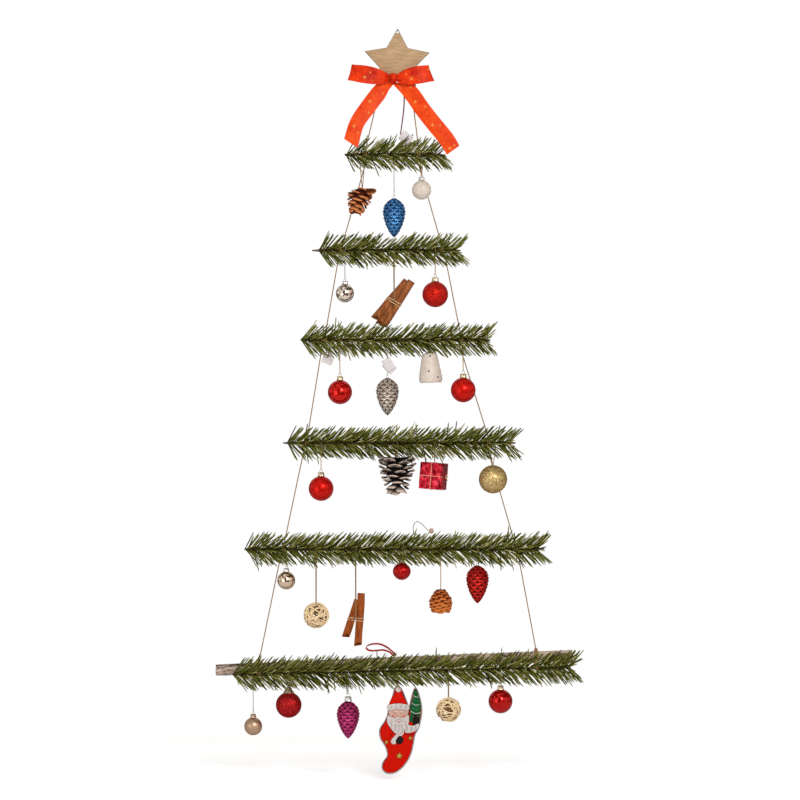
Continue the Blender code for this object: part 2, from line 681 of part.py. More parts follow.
def build_bow_loop(side, collection):
    """One loop of the bow: a ribbon that goes out behind and comes back in front."""
    sign = -1 if side == "left" else 1
    reach = (LOOP_REACH_LEFT if side == "left" else LOOP_REACH_RIGHT) - KNOT_WIDTH / 2 - CLEARANCE
    centre = knot_centre()
    start = centre.x + sign * (KNOT_WIDTH / 2 + CLEARANCE)
    back = -STAR_THICKNESS - CLEARANCE - RIBBON_THICKNESS / 2
    centres, halves = [], []
    for across, depth, width in LOOP_SHARES:
        half = (LOOP_KNOT_WIDTH + (RIBBON_WIDTH - LOOP_KNOT_WIDTH) * width) / 2
        centres.append((start + sign * across * reach, back - depth * LOOP_DEPTH,
                        centre.z + across * reach * LOOP_RISE_SHARE))
        halves.append((0, 0, half))
    loop = strip("bow_loop_" + side, centres, halves, RIBBON_THICKNESS)
    finish(loop, "bow_loop_" + side, centre, "ribbon", collection)


def build_bow_knot(collection):
    """The wrapped middle of the bow."""
    centre = knot_centre()
    knot = box((KNOT_WIDTH, KNOT_DEPTH, KNOT_HEIGHT))
    rounding = knot.modifiers.new("round", "BEVEL")
    rounding.width = KNOT_DEPTH / 4
    rounding.segments = 2
    knot = baked(knot)
    knot.data.transform(Matrix.Translation(centre))
    finish(knot, "bow_knot", centre, "ribbon", collection)


# Tails: share of the reach, share of the drop, width share
TAIL_SHARES = {
    "left": ((0.0, 0.0, 0.16), (0.17, 0.05, 0.70), (0.33, 0.19, 1.0), (0.57, 0.40, 1.0),
             (0.85, 0.67, 0.92), (1.0, 1.0, 0.95)),
    "right": ((0.0, 0.0, 0.16), (0.14, 0.05, 0.70), (0.29, 0.17, 1.0), (0.46, 0.38, 1.0),
              (0.66, 0.60, 1.0), (0.88, 0.83, 1.0), (1.0, 1.0, 0.95)),
}


def tail_pivot():
    """The axis on which the tails lift with the top rung."""
    return Vector((knot_centre().x, -TAIL_TOP_DEPTH, -KNOT_DROP - KNOT_HEIGHT / 2 - CLEARANCE))


def tail_route(side):
    """The middle line of one tail, from the knot down over the top garland, with its width shares."""
    sign = -1 if side == "left" else 1
    top = tail_pivot()
    start = top.x + sign * (LOOP_KNOT_WIDTH / 4 + CLEARANCE)
    points = []
    for across, down, width in TAIL_SHARES[side]:
        depth = TAIL_TOP_DEPTH + (TAIL_END_DEPTH - TAIL_TOP_DEPTH) * down
        height = top.z - RIBBON_THICKNESS / 2 - down * TAIL_DROPS[side]
        points.append((Vector((start + sign * across * TAIL_REACHES[side], -depth, height)), width))
    return points


def under_tail(place):
    """Whether a point of a needle lies where a tail hangs over the top garland."""
    room = RIBBON_WIDTH / 2 + NEEDLE_CLEARANCE
    for side in ("left", "right"):
        before, end = [point for point, _ in tail_route(side)][-2:]
        low, high = sorted((before.x, end.x))
        if low - room < place.x < high + room and place.z > end.z - room and place.y < -TAIL_TOP_DEPTH:
            return True
    return False


def build_bow_tail(side, collection):
    """One tail of the bow, which runs down in front of the twine and over the top garland."""
    top = tail_pivot()
    points = tail_route(side)
    centres, halves = [], []
    for index, (place, width) in enumerate(points):
        before = points[max(index - 1, 0)][0]
        after = points[min(index + 1, len(points) - 1)][0]
        heading = (after - before).normalized()
        square = Vector((-heading.z, 0, heading.x))
        if index == 0:
            square = Vector((1, 0, 0))
        if square.x < 0:
            square = -square
        centres.append(place)
        halves.append(square * RIBBON_WIDTH / 2 * width)
    tail = strip("bow_tail_" + side, centres, halves, RIBBON_THICKNESS)
    finish(tail, "bow_tail_" + side, top, "ribbon", collection)


def build_tag_string(collection):
    """A dark red string behind the knot, with a blank paper tag at its end."""
    top = tail_pivot()
    start = Vector((top.x + TAG_STRING_OFFSET, -TAG_STRING_DEPTH, top.z + 2 * CLEARANCE))
    end = Vector((start.x + TAG_STRING_DRIFT, -TAG_STRING_END_DEPTH, start.z - TAG_STRING_LENGTH))
    bend = Vector((end.x, -TAG_STRING_DEPTH, start.z - TAG_STRING_LENGTH * TAG_STRING_BEND_SHARE))
    run = tube([start, bend, end], TAG_STRING_RADIUS)
    tag = box((TAG_WIDTH, TAG_THICKNESS + 2 * TAG_STRING_RADIUS, TAG_HEIGHT))
    middle = (end.x + TAG_WIDTH * TAG_SIDE_SHARE, end.y, end.z - TAG_HEIGHT / 4)
    tag.data.transform(Matrix.Translation(middle))
    finish(fuse([tag, run]), "tag_string", top, "paper", collection)


def build_stick(index, collection):
    """One rung: a straight twig, and at the bottom a thicker stick with its bark on."""
    left = stick_point(index, -STICK_LEFT_ENDS[index])
    right = stick_point(index, STICK_RIGHT_ENDS[index])
    middle = stick_point(index, 0)
    stick = tube([left, left.lerp(right, 0.5), right], stick_radius(index), STICK_SIDES)
    finish(stick, f"stick_{index + 1}", middle, "bark" if is_bottom(index) else "twig", collection)


def needle_is_free(index, points):
    """Whether a needle stays clear of threads, ornaments and twine."""
    for place in points:
        for item in ORNAMENTS:
            if item["rung"] == index and blocks(sweep_of(item), place):
                return False
        if crosses_twine(index, place) or under_ornament(index, place):
            return False
        if index == 0 and under_tail(place):
            return False
    return True


def build_garland(index, collection):
    """A wire stem with slanted needles, fused into one body."""
    left, right = -STEM_LEFT_ENDS[index], STEM_RIGHT_ENDS[index]
    stem = tube([stem_point(index, left), stem_point(index, right)], STEM_RADIUS, 8)
    length = right - left
    heading = (stem_point(index, right) - stem_point(index, left)).normalized()
    count = int(length / NEEDLE_PITCH)
    shape = bmesh.new()
    for number in range(count):
        root = stem_point(index, left + (number + 0.5) * length / count)
        turn = NEEDLE_TURNS[number % len(NEEDLE_TURNS)]
        outward = Vector((0, -math.sin(turn), -math.cos(turn)))
        way = (heading * math.cos(NEEDLE_SLANT) + outward * math.sin(NEEDLE_SLANT)).normalized()
        first = root + outward * STEM_RADIUS / 2
        samples = [first + way * NEEDLE_LENGTH * step / SWEEP_SAMPLES for step in range(SWEEP_SAMPLES + 1)]
        if not needle_is_free(index, samples):
            continue
        spin = way.to_track_quat("Z", "Y").to_matrix().to_4x4()
        middle = first + way * NEEDLE_LENGTH / 2
        bmesh.ops.create_cone(
            shape, cap_ends=True, segments=NEEDLE_SIDES, radius1=NEEDLE_ROOT_RADIUS,
            radius2=NEEDLE_TIP_RADIUS, depth=NEEDLE_LENGTH, matrix=Matrix.Translation(middle) @ spin)
    mesh = bpy.data.meshes.new("needles")
    shape.to_mesh(mesh)
    shape.free()
    needles = bpy.data.objects.new("needles", mesh)
    bpy.context.scene.collection.objects.link(needles)
    finish(fuse([stem, needles]), f"garland_{index + 1}", stick_point(index, 0), "needles", collection)


def belt(centre_a, radius_a, centre_b, radius_b):
    """Points of a closed loop round two parallel rods that run along X."""
    away = centre_b - centre_a
    distance = math.hypot(away.y, away.z)
    facing = math.atan2(away.z, away.y)
    spread = math.acos((radius_a - radius_b) / distance)
    points = []
    for step in range(BELT_STEPS + 1):
        turn = facing + spread + (2 * math.pi - 2 * spread) * step / BELT_STEPS
        points.append(centre_a + Vector((0, math.cos(turn), math.sin(turn))) * radius_a)
    for step in range(BELT_STEPS // 2 + 1):
        turn = facing - spread + 2 * spread * step / (BELT_STEPS // 2)
        points.append(centre_b + Vector((0, math.cos(turn), math.sin(turn))) * radius_b)
    return points


def build_twine(index, side, collection):
    """One run of twine: a knot or an eye at its top, and a wrap round stick and stem below."""
    tied, eyes = twine_places(side)
    high, low = twine_run(index, side)
    stick, stem = stick_point(index, tied[index]), stem_point(index, tied[index])
    room = CLEARANCE + TWINE_RADIUS
    corner = 1 / math.cos(math.pi / BELT_STEPS)
    loop = belt(stick, (stick_radius(index) + room) * corner, stem, (STEM_RADIUS + room) * corner)
    wrap = tube(loop, TWINE_RADIUS, 4, closed=True)
    # The run comes down straight until it meets the wrap
    low.z = max(place.z for place in loop if abs(place.y + RUNG_DEPTH) < stick_radius(index))
    run = tube([high, low], TWINE_RADIUS)
    if index == 0:
        pivot = Vector((0, high.y, high.z))
        top = ball(high, [TWINE_KNOT_RADIUS * 2] * 3, 10, 6)
    else:
        pivot = stick_point(index - 1, 0)
        radius = (stick_radius(index - 1) + room) / math.cos(math.pi / LOOP_STEPS)
        top = ring(stick_point(index - 1, high.x), radius, TWINE_RADIUS)
    name = f"twine_{side}_{index + 1}"
    finish(fuse([wrap, run, top]), name, pivot, "twine", collection)


# Ornaments

def shaped(outline, width, length, columns, rows, relief=0.0, lobes=0):
    """A turned body that hangs from its top, with scales or lobes raised on it."""
    bpy.ops.mesh.primitive_uv_sphere_add(segments=columns, ring_count=rows, radius=1)
    obj = bpy.context.object
    for vertex in obj.data.vertices:
        flat = math.hypot(vertex.co.x, vertex.co.y)
        polar = math.atan2(flat, vertex.co.z)
        turn = math.atan2(vertex.co.y, vertex.co.x)
        row = round(polar / math.pi * rows)
        column = round(turn / (2 * math.pi) * columns)
        across, down = read_outline(outline, polar / math.pi)
        swell = 1.0
        if lobes:
            swell = 1 + relief * math.cos(lobes * turn)
        elif relief and 0 < row < rows:
            swell = 1 if (row + column) % 2 else 1 - 2 * relief
        if row in (0, rows):
            across = 0
        reach = across * width / 2 * swell
        vertex.co = (reach * math.cos(turn), reach * math.sin(turn), -down * length)
    return obj


def make_ball(item):
    """A round bauble under its metal cap; the top of the cap is the origin."""
    radius = item["width"] / 2
    height = radius * CAP_HEIGHT_SHARE
    lobes = RIB_COUNT if item["kind"] == "ribbed" else 0
    columns = RIB_COUNT * 2 if lobes else BALL_COLUMNS
    body = shaped(BALL_SHARES, item["width"], item["length"], columns, BALL_ROWS,
                  RIB_RELIEF_SHARE if lobes else 0.0, lobes)
    body.data.transform(Matrix.Translation((0, 0, -height)))
    sunk = radius * EMBED_SHARE
    cap = cylinder((0, 0, -(height + sunk) / 2), radius * CAP_RADIUS_SHARE, height + sunk)
    return [body, cap]


def make_rattan(item):
    """A ball of wound rattan, as its outer form."""
    return [shaped(BALL_SHARES, item["width"], item["length"], BALL_COLUMNS, BALL_ROWS)]


def make_cone(item):
    """A glass cone with low scales, under a small cap."""
    height = item["width"] / 2 * CAP_HEIGHT_SHARE
    length = item["length"] - height
    body = shaped(CONE_SHARES, item["width"], length, CONE_COLUMNS, CONE_ROWS, CONE_RELIEF_SHARE)
    body.data.transform(Matrix.Translation((0, 0, -height)))
    sunk = height
    cap = cylinder((0, 0, -(height + sunk) / 2), item["width"] / 2 * CAP_RADIUS_SHARE, height + sunk)
    return [body, cap]


def make_pinecone(item):
    """A pinecone with open scales."""
    return [shaped(PINECONE_SHARES, item["width"], item["length"], PINECONE_COLUMNS, PINECONE_ROWS,
                   PINECONE_RELIEF_SHARE)]


def make_bell(item):
    """A thin-walled bell, open below."""
    half, length = item["width"] / 2, item["length"]
    outer = [(half * across, -length * down) for across, down in BELL_SHARES]
    inner = [(max(across - BELL_WALL, 0), min(down, -BELL_WALL)) for across, down in outer[2:]]
    inner[-1] = (outer[-1][0] - BELL_WALL, outer[-1][1])
    profile = outer + inner[::-1] + [(0, inner[0][1])]
    mesh = bpy.data.meshes.new("bell")
    shape = bmesh.new()
    verts = [shape.verts.new((across, 0, up)) for across, up in profile]
    for first, second in zip(verts, verts[1:]):
        shape.edges.new((first, second))
    shape.to_mesh(mesh)
    shape.free()
    obj = bpy.data.objects.new("bell", mesh)
    bpy.context.scene.collection.objects.link(obj)
    screw = obj.modifiers.new("turn", "SCREW")
    screw.steps = BELL_STEPS
    screw.render_steps = BELL_STEPS
    screw.use_merge_vertices = True
    screw.merge_threshold = MERGE_DISTANCE
    return [baked(obj)]


def make_gift(item):
    """A small wrapped box with a thin band each way."""
    width, length = item["width"], item["length"]
    wrap = box((width, GIFT_DEPTH, length))
    proud = 2 * GIFT_BAND_PROUD
    upright = box((GIFT_BAND_WIDTH, GIFT_DEPTH + proud, length + proud))
    under = proud * GIFT_UNDER_SHARE
    level = box((width + under, GIFT_DEPTH + under, GIFT_BAND_WIDTH))
    pieces = [wrap, upright, level]
    for piece in pieces:
        piece.data.transform(Matrix.Translation((0, 0, -length / 2)) @ Matrix.Rotation(GIFT_YAW, 4, "Z"))
    return pieces


def quill(length):
    """One curled stick of bark, upright about the origin."""
    outer, inner = [], []
    for step in range(QUILL_CURL_STEPS + 1):
        share = step / QUILL_CURL_STEPS
        turn = 2 * math.pi * QUILL_CURL_TURNS * share
        reach = QUILL_RADIUS - QUILL_CURL_PITCH * QUILL_CURL_TURNS * share
        outer.append((reach * math.cos(turn), reach * math.sin(turn)))
        inner.append(((reach - QUILL_SHEET) * math.cos(turn), (reach - QUILL_SHEET) * math.sin(turn)))
    made = plate(outer + inner[::-1], length)
    made.data.transform(Matrix.Rotation(math.pi / 2, 4, "X"))
    return made


def tie(centre, width, depth):
    """A twine band round a bundle, level about a point."""
    points = []
    for step in range(LOOP_STEPS):
        turn = 2 * math.pi * step / LOOP_STEPS
        points.append(centre + Vector((width / 2 * math.cos(turn), depth / 2 * math.sin(turn), 0)))
    return tube(points, TIE_RADIUS, 4, closed=True)


def make_cinnamon(item):
    """Two quills side by side, parted below; the thread is tied to the front of their band."""
    behind = QUILL_RADIUS + THREAD_RADIUS + CLEARANCE
    pitch = 2 * QUILL_RADIUS + CLEARANCE + item["length"] * math.sin(QUILL_FAN / 2)
    pieces = []
    for way, share in zip((-1, 1), QUILL_LENGTHS[item["name"]]):
        stick = quill(item["length"] * share)
        lean = Matrix.Rotation(-QUILL_FAN * way / 2, 4, "Y")
        stick.data.transform(Matrix.Translation((pitch * way / 2, behind, 0)) @ lean)
        pieces.append(stick)
    band = tie(Vector((0, behind, 0)), pitch + 2 * QUILL_RADIUS + TIE_RADIUS, 2 * behind)
    return [band] + pieces


def make_figure(item):
    """A flat painted wooden figure with a small tree beside it."""
    width, length = item["width"], item["length"]
    left = -FIGURE_HANG_SHARE * width
    outline = [(left + across * width, -down * length) for across, down in FIGURE_SHARES]
    return [plate(outline, FIGURE_THICKNESS, "figure")]


MAKERS = {
    "bauble": make_ball,
    "ribbed": make_ball,
    "rattan": make_rattan,
    "cone": make_cone,
    "pinecone": make_pinecone,
    "bell": make_bell,
    "gift": make_gift,
    "cinnamon": make_cinnamon,
    "figure": make_figure,
}


def build_ornament(item, collection):
    """One ornament with its cap and its hanging thread, joined as it hangs."""
    pivot, top = ornament_pivot(item), ornament_top(item)
    pieces = MAKERS[item["kind"]](item)
    place = Matrix.Translation(top) @ Matrix.Rotation(item["tilt"], 4, "Y")
    for piece in pieces:
        piece.data.transform(place)
    carrier = stick_radius(item["rung"]) if item["leans"] else STEM_RADIUS
    radius = (carrier + CLEARANCE + THREAD_RADIUS) / math.cos(math.pi / LOOP_STEPS)
    down = (top - pivot).normalized()
    inside = place @ Vector((0, 0, -item["length"] * EMBED_SHARE / 2))
    route = [pivot + down * radius, top]
    if item["leans"]:
        route = [pivot - Vector((0, 0, radius)), pivot - Vector((0, 0, LEANING_KNEE)), top]
    if item["kind"] != "cinnamon":
        route.append(inside)
    run = tube(route, THREAD_RADIUS, 4)
    loop = ring(pivot, radius, THREAD_RADIUS)
    finish(fuse(pieces + [run, loop]), item["name"], pivot, item["name"], collection)


# Small extras

def build_paper_tag(collection):
    """A blank folded tag on a ring of black cord, at the left of the third rung."""
    index = 2
    pivot = stick_point(index, along_stem(index, LEFT_TAG_SHARE))
    radius = (stick_radius(index) + CLEARANCE + THREAD_RADIUS) / math.cos(math.pi / LOOP_STEPS)
    forward = RUNG_DEPTH + TWINE_RADIUS + LEANING_GAP + 2 * TAG_THICKNESS
    centre = Vector((pivot.x, -forward, pivot.z - PAPER_TAG_DROP))
    tag = box((PAPER_TAG_WIDTH, 2 * TAG_THICKNESS, PAPER_TAG_HEIGHT))
    tag.data.transform(Matrix.Translation(centre) @ Matrix.Rotation(PAPER_TAG_TILT, 4, "Y"))
    down = (centre - pivot).normalized()
    run = tube([pivot + down * radius, centre], THREAD_RADIUS, 4)
    loop = ring(pivot, radius, THREAD_RADIUS)
    finish(fuse([tag, run, loop]), "paper_tag", pivot, "paper", collection)


def build_satin_loop(collection):
    """The figure's satin ribbon, which lies over the lowest garland."""
    index = len(RUNG_SPACINGS) - 1
    left = along_stem(index, SATIN_LOOP_PLACE_SHARE)
    centres, halves = [], []
    for across, rise in SATIN_LOOP_SHARES:
        place = stick_point(index, left + across * SATIN_LOOP_SPAN)
        place.z += stick_radius(index) + CLEARANCE + SATIN_LOOP_WIDTH / 2 + rise * SATIN_LOOP_RISE
        centres.append(place)
        halves.append((0, 0, SATIN_LOOP_WIDTH / 2))
    loop = strip("satin_loop", centres, halves, SATIN_LOOP_THICKNESS)
    finish(loop, "satin_loop", stick_point(index, 0), "satin", collection)


def build_string_loop(collection):
    """A loop of string that stands above the fifth garland, with a wooden bead."""
    index = 4
    left = stick_point(index, along_stem(index, STRING_LOOP_PLACE_SHARE))
    base = stick_radius(index) + CLEARANCE + STRING_LOOP_RADIUS
    points = []
    for step in range(LOOP_STEPS + 1):
        share = step / LOOP_STEPS
        rise = base + (STRING_LOOP_RISE - base) * math.sin(math.pi * share)
        points.append(left + Vector((STRING_LOOP_SPAN * share, 0, rise)))
    loop = tube(points, STRING_LOOP_RADIUS, 4)
    bead_place = points[-2] + Vector((BEAD_RADIUS, 0, 0))
    bead = ball(bead_place, [2 * BEAD_RADIUS] * 3, 10, 6)
    finish(fuse([bead, loop]), "string_loop", stick_point(index, 0), "paper", collection)


def main():
    """Build every piece."""
    clear_scene()
    tree = new_collection(COLLECTION_NAME)
    build_star(tree)
    build_bow_knot(tree)
    build_tag_string(tree)
    for side in ("left", "right"):
        build_bow_loop(side, tree)
        build_bow_tail(side, tree)
    for index in range(len(RUNG_SPACINGS)):
        build_stick(index, tree)
        build_garland(index, tree)
        for side in ("left", "right"):
            build_twine(index, side, tree)
    for item in ORNAMENTS:
        build_ornament(item, tree)
    build_paper_tag(tree)
    build_satin_loop(tree)
    build_string_loop(tree)


main()
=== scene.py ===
"""Looks of the wall Christmas tree: its garlands, bow, twine and ornaments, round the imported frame.

Everything is in metres in the frame's own axes: the origin is the star's hanging hole, +Z is up,
and the tree is seen from -Y.
"""

import json
import math
import random

import bmesh
import bpy
from mathutils import Matrix, Quaternion, Vector, noise


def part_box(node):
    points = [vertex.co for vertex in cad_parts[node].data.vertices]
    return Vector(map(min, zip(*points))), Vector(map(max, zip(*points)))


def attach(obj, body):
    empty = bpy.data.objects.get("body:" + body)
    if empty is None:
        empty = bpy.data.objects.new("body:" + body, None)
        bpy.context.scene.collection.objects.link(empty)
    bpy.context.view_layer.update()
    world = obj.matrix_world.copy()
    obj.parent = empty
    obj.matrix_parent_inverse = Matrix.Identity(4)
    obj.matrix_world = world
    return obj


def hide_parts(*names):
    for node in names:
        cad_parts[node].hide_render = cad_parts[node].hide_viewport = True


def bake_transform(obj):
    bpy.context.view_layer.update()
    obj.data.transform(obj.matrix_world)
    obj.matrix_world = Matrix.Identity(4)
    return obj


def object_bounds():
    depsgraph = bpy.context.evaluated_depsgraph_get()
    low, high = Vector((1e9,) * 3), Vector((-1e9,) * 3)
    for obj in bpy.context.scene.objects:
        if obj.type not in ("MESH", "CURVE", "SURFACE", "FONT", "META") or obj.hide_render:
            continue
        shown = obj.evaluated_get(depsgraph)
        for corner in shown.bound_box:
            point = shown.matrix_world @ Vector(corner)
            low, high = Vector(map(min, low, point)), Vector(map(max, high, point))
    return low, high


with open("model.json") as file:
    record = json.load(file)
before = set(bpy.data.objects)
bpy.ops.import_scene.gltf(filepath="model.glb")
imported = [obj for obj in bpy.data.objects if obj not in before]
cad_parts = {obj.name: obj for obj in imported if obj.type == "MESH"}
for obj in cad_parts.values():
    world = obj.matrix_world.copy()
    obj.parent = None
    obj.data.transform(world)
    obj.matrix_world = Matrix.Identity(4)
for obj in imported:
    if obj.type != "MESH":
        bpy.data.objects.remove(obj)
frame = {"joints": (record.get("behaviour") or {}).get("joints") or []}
CAD_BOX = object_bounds()
PIVOTS = {joint["child"]: Vector(joint["pos_m"]) for joint in frame["joints"]}
SEED = 7
MM = 0.001

# Camera and room
PHOTO_WIDTH = 1.28
VIEW_DISTANCE = 5.0
VIEW_CENTRE = Vector((0.004, -0.012, -0.5896))
SENSOR = 36.0
FLOOR_GAP = 0.012

# Ladder
RUNG_DEPTH = 0.011
TWIG_RADIUS = 0.0035
BARK_RADIUS = 0.0095
STEM_RADIUS = 0.0018
STEM_FORWARD = 0.0079
BOTTOM_STEM_FORWARD = 0.0125
BOTTOM_STEM_DROP_LEFT = 0.0066
BOTTOM_STEM_DROP_RIGHT = 0.0173
BARK_TILT = math.radians(2.35)
CLEARANCE = 0.0003
STEM_LEFT_ENDS = (0.0840, 0.1256, 0.1544, 0.1768, 0.2440, 0.2632)
STEM_RIGHT_ENDS = (0.0696, 0.0936, 0.1400, 0.1784, 0.2248, 0.2760)
SIGNS = {"left": -1, "right": 1}
TWINE_PLACES = {"left": (0.0520, 0.0896, 0.1162, 0.1448, 0.1821, 0.2216),
                "right": (0.0344, 0.0717, 0.1016, 0.1464, 0.1888, 0.2216)}
TWINE_STARTS = {"left": Vector((-0.0283, 0.0021, -0.0905)), "right": Vector((0.0222, 0.0021, -0.0905))}
TWINE_RADIUS = 0.001
EYE_SIDES = {"left": (-1, 1, 1, 1, 1), "right": (-1, 1, -1, -1, 1)}
EYE_OFFSET = 0.0035
RUNG_COUNT = 6


def ornament(name, kind, reach, length, width, thread, spread, **own):
    """An ornament as it hangs: reach is from its carrier's axis to its lowest point, length is its own
    height without thread, and spread is the width of its thread's loop. A leaning one hangs from the
    stick and rests against the twine."""
    return {"name": name, "kind": kind, "reach": reach, "length": length, "width": width, "thread": thread,
            "spread": spread, "tilt": 0.0, "leans": False, "cap": None, **own}


ORNAMENTS = (
    ornament("pinecone_small", "pinecone", 0.0925, 0.0420, 0.0400, "twine", 0.0075, tilt=-0.35, leans=True),
    ornament("cone_blue", "cone", 0.1322, 0.0645, 0.0380, "white_thread", 0.0044),
    ornament("bauble_white", "bauble", 0.0725, 0.0307, 0.0307, "twine", 0.003, leans=True, cap="white"),
    ornament("bauble_silver_upper", "bauble", 0.0832, 0.0288, 0.0288, "grey_thread", 0.0008, cap="silver"),
    ornament("cinnamon_bundle", "cinnamon", 0.1180, 0.0860, 0.0260, "twine", 0.002, tilt=0.58),
    ornament("bauble_red_glitter", "bauble", 0.0910, 0.0412, 0.0412, "gold_thread", 0.0016, cap="gold"),
    ornament("bauble_red_shiny", "bauble", 0.1028, 0.0387, 0.0387, "gold_thread", 0.001, cap="gold"),
    ornament("cone_silver", "cone", 0.1208, 0.0622, 0.0384, "white_thread", 0.003),
    ornament("bell_white", "bell", 0.0684, 0.0480, 0.0392, "white_thread", 0.002, tilt=-0.045),
    ornament("bauble_red_matte", "bauble", 0.0998, 0.0395, 0.0395, "gold_thread", 0.0012, leans=True,
             cap="gold"),
    ornament("bauble_red_lower", "bauble", 0.0925, 0.0397, 0.0397, "gold_thread", 0.001, cap="gold"),
    ornament("pinecone_large", "pinecone", 0.0827, 0.0600, 0.0600, "twine", 0.003),
    ornament("gift_box", "gift", 0.0740, 0.0430, 0.0390, "gold_thread", 0.003, tilt=0.075),
    ornament("bauble_gold", "bauble", 0.0800, 0.0451, 0.0451, "twine", 0.009, leans=True),
    ornament("bauble_silver_lower", "bauble", 0.0637, 0.0285, 0.0285, "grey_thread", 0.0008, leans=True,
             cap="silver"),
    ornament("rattan_ball_upper", "rattan", 0.1265, 0.0422, 0.0422, "twine", 0.0022),
    ornament("cinnamon_pair", "cinnamon", 0.1535, 0.0840, 0.0300, "twine", 0.002, tilt=0.12),
    ornament("bauble_ribbed", "ribbed", 0.0493, 0.0280, 0.0291, "gold_thread", 0.001, cap="gold"),
    ornament("pinecone_orange", "pinecone", 0.1024, 0.0400, 0.0389, "gold_thread", 0.001),
    ornament("cone_red", "cone", 0.0867, 0.0630, 0.0381, "gold_thread", 0.002),
    ornament("bauble_champagne", "bauble", 0.0980, 0.0285, 0.0285, "grey_thread", 0.0006, cap="bronze"),
    ornament("bauble_dark_red", "bauble", 0.0713, 0.0410, 0.0410, "gold_thread", 0.001, cap="gold_flare"),
    ornament("cone_magenta", "cone", 0.1067, 0.0645, 0.0384, "grey_thread", 0.003, cap="silver"),
    ornament("wooden_figure", "figure", 0.1630, 0.1379, 0.0674, "dark_red_thread", 0.001),
    ornament("rattan_ball_lower", "rattan", 0.0842, 0.0410, 0.0410, "twine", 0.0026),
    ornament("bauble_red_end", "bauble", 0.0714, 0.0384, 0.0384, "gold_thread", 0.001, cap="gold"),
)


# Materials

FINISH = {}
# Marks printed on the ribbon: pitch, offset and size along it, depth of a star's points, place across.
RIBBON_PRINT = ((0.047, 0.0, 0.0021, 0.42, -0.0030), (0.0084, 0.002, 0.0005, 0.0, 0.0008),
                (0.0230, 0.009, 0.0007, 0.0, -0.0068), (0.0390, 0.015, 0.0014, 0.42, 0.0062))


def put(owner, socket, value):
    """Set one socket: to a constant or a colour, or link it to the output that feeds it."""
    if isinstance(value, bpy.types.NodeSocket):
        owner.node_tree.links.new(value, socket)
    else:
        socket.default_value = (*value, 1.0) if socket.type == "RGBA" else value


def fill(owner, made, **values):
    """Set a node's properties and sockets by name."""
    for key, value in values.items():
        if hasattr(made, key):
            setattr(made, key, value)
        else:
            put(owner, made.inputs[key.replace("_", " ")], value)
    return made


def node(owner, kind, **values):
    """A node in the tree of a material or of the world."""
    return fill(owner, owner.node_tree.nodes.new("ShaderNode" + kind), **values)


def set_shader(material, **values):
    """Set sockets of the material's Principled shader."""
    fill(material, material.node_tree.nodes["Principled BSDF"], **values)


def new_material(name, colour, roughness, **values):
    """A Principled material, kept by its name, with its constants set on the shader itself."""
    made = bpy.data.materials.new(name)
    made.use_nodes = True
    set_shader(made, Base_Color=colour, Roughness=roughness, Coat_Roughness=0.08, **values)
    FINISH[name] = made
    return made


def scaled(colour, share):
    """A darker colour."""
    return tuple(channel * share for channel in colour)


def place_vector(material, stretch=(1, 1, 1)):
    """The piece's own coordinates, stretched."""
    place = node(material, "TexCoord").outputs["Object"]
    return node(material, "Mapping", Vector=place, Scale=stretch).outputs["Vector"]


def shade_of(material):
    """The shade laid on a mesh's vertices."""
    return node(material, "Attribute", attribute_name="shade").outputs["Fac"]


def noise_of(owner, vector, scale, detail=3.0, roughness=0.6):
    """A noise texture's value."""
    made = node(owner, "TexNoise", Vector=vector, Scale=scale, Detail=detail, Roughness=roughness)
    return made.outputs["Fac"]


def cells_of(material, vector, scale, output="Color"):
    """A Voronoi texture's output."""
    return node(material, "TexVoronoi", Vector=vector, Scale=scale).outputs[output]


def ramp_of(owner, value, *stops):
    """A colour ramp over a value: pairs of place and colour."""
    ramp = node(owner, "ValToRGB", Fac=value)
    elements = ramp.color_ramp.elements
    while len(elements) < len(stops):
        elements.new(1.0)
    for element, (place, colour) in zip(elements, stops):
        element.position = place
        element.color = (*colour, 1.0)
    return ramp.outputs["Color"]


def mix_of(material, factor, first, second):
    """A mix of two colours."""
    mix = node(material, "Mix", data_type="RGBA")
    for index, value in ((0, factor), (6, first), (7, second)):
        put(material, mix.inputs[index], value)
    return mix.outputs[2]


def math_of(owner, operation, *values):
    """A Math node over outputs or plain numbers."""
    made = node(owner, "Math", operation=operation)
    for index, value in enumerate(values):
        put(owner, made.inputs[index], value)
    return made.outputs[0]


def sum_of(material, first, share, second, rest):
    """Two values added, each times its share."""
    return math_of(material, "MULTIPLY_ADD", second, rest, math_of(material, "MULTIPLY", first, share))


def set_bump(material, height, strength, distance):
    """Bump from a height value."""
    bump = node(material, "Bump", Height=height, Strength=strength, Distance=distance)
    set_shader(material, Normal=bump.outputs["Normal"])


def set_roughness(material, value, low, high):
    """Roughness that follows a value between two limits."""
    spread = node(material, "MapRange", Value=value, To_Min=low, To_Max=high)
    set_shader(material, Roughness=spread.outputs["Result"])


def fibre_material(name, dark, light, scale, stretch=(1, 1, 1), roughness=0.85, bump=0.6, depth=0.3 * MM,
                   spread=0.14):
    """Fibrous or woody stuff: two tones in a stretched noise, with bump."""
    made = new_material(name, light, roughness, Specular_IOR_Level=0.25)
    vector = place_vector(made, stretch)
    both = sum_of(made, noise_of(made, vector, scale, 5.0, 0.65), 0.7, noise_of(made, vector, scale * 5), 0.3)
    set_shader(made, Base_Color=ramp_of(made, both, (0.5 - spread, dark), (0.5 + spread, light)))
    set_bump(made, both, bump, depth)


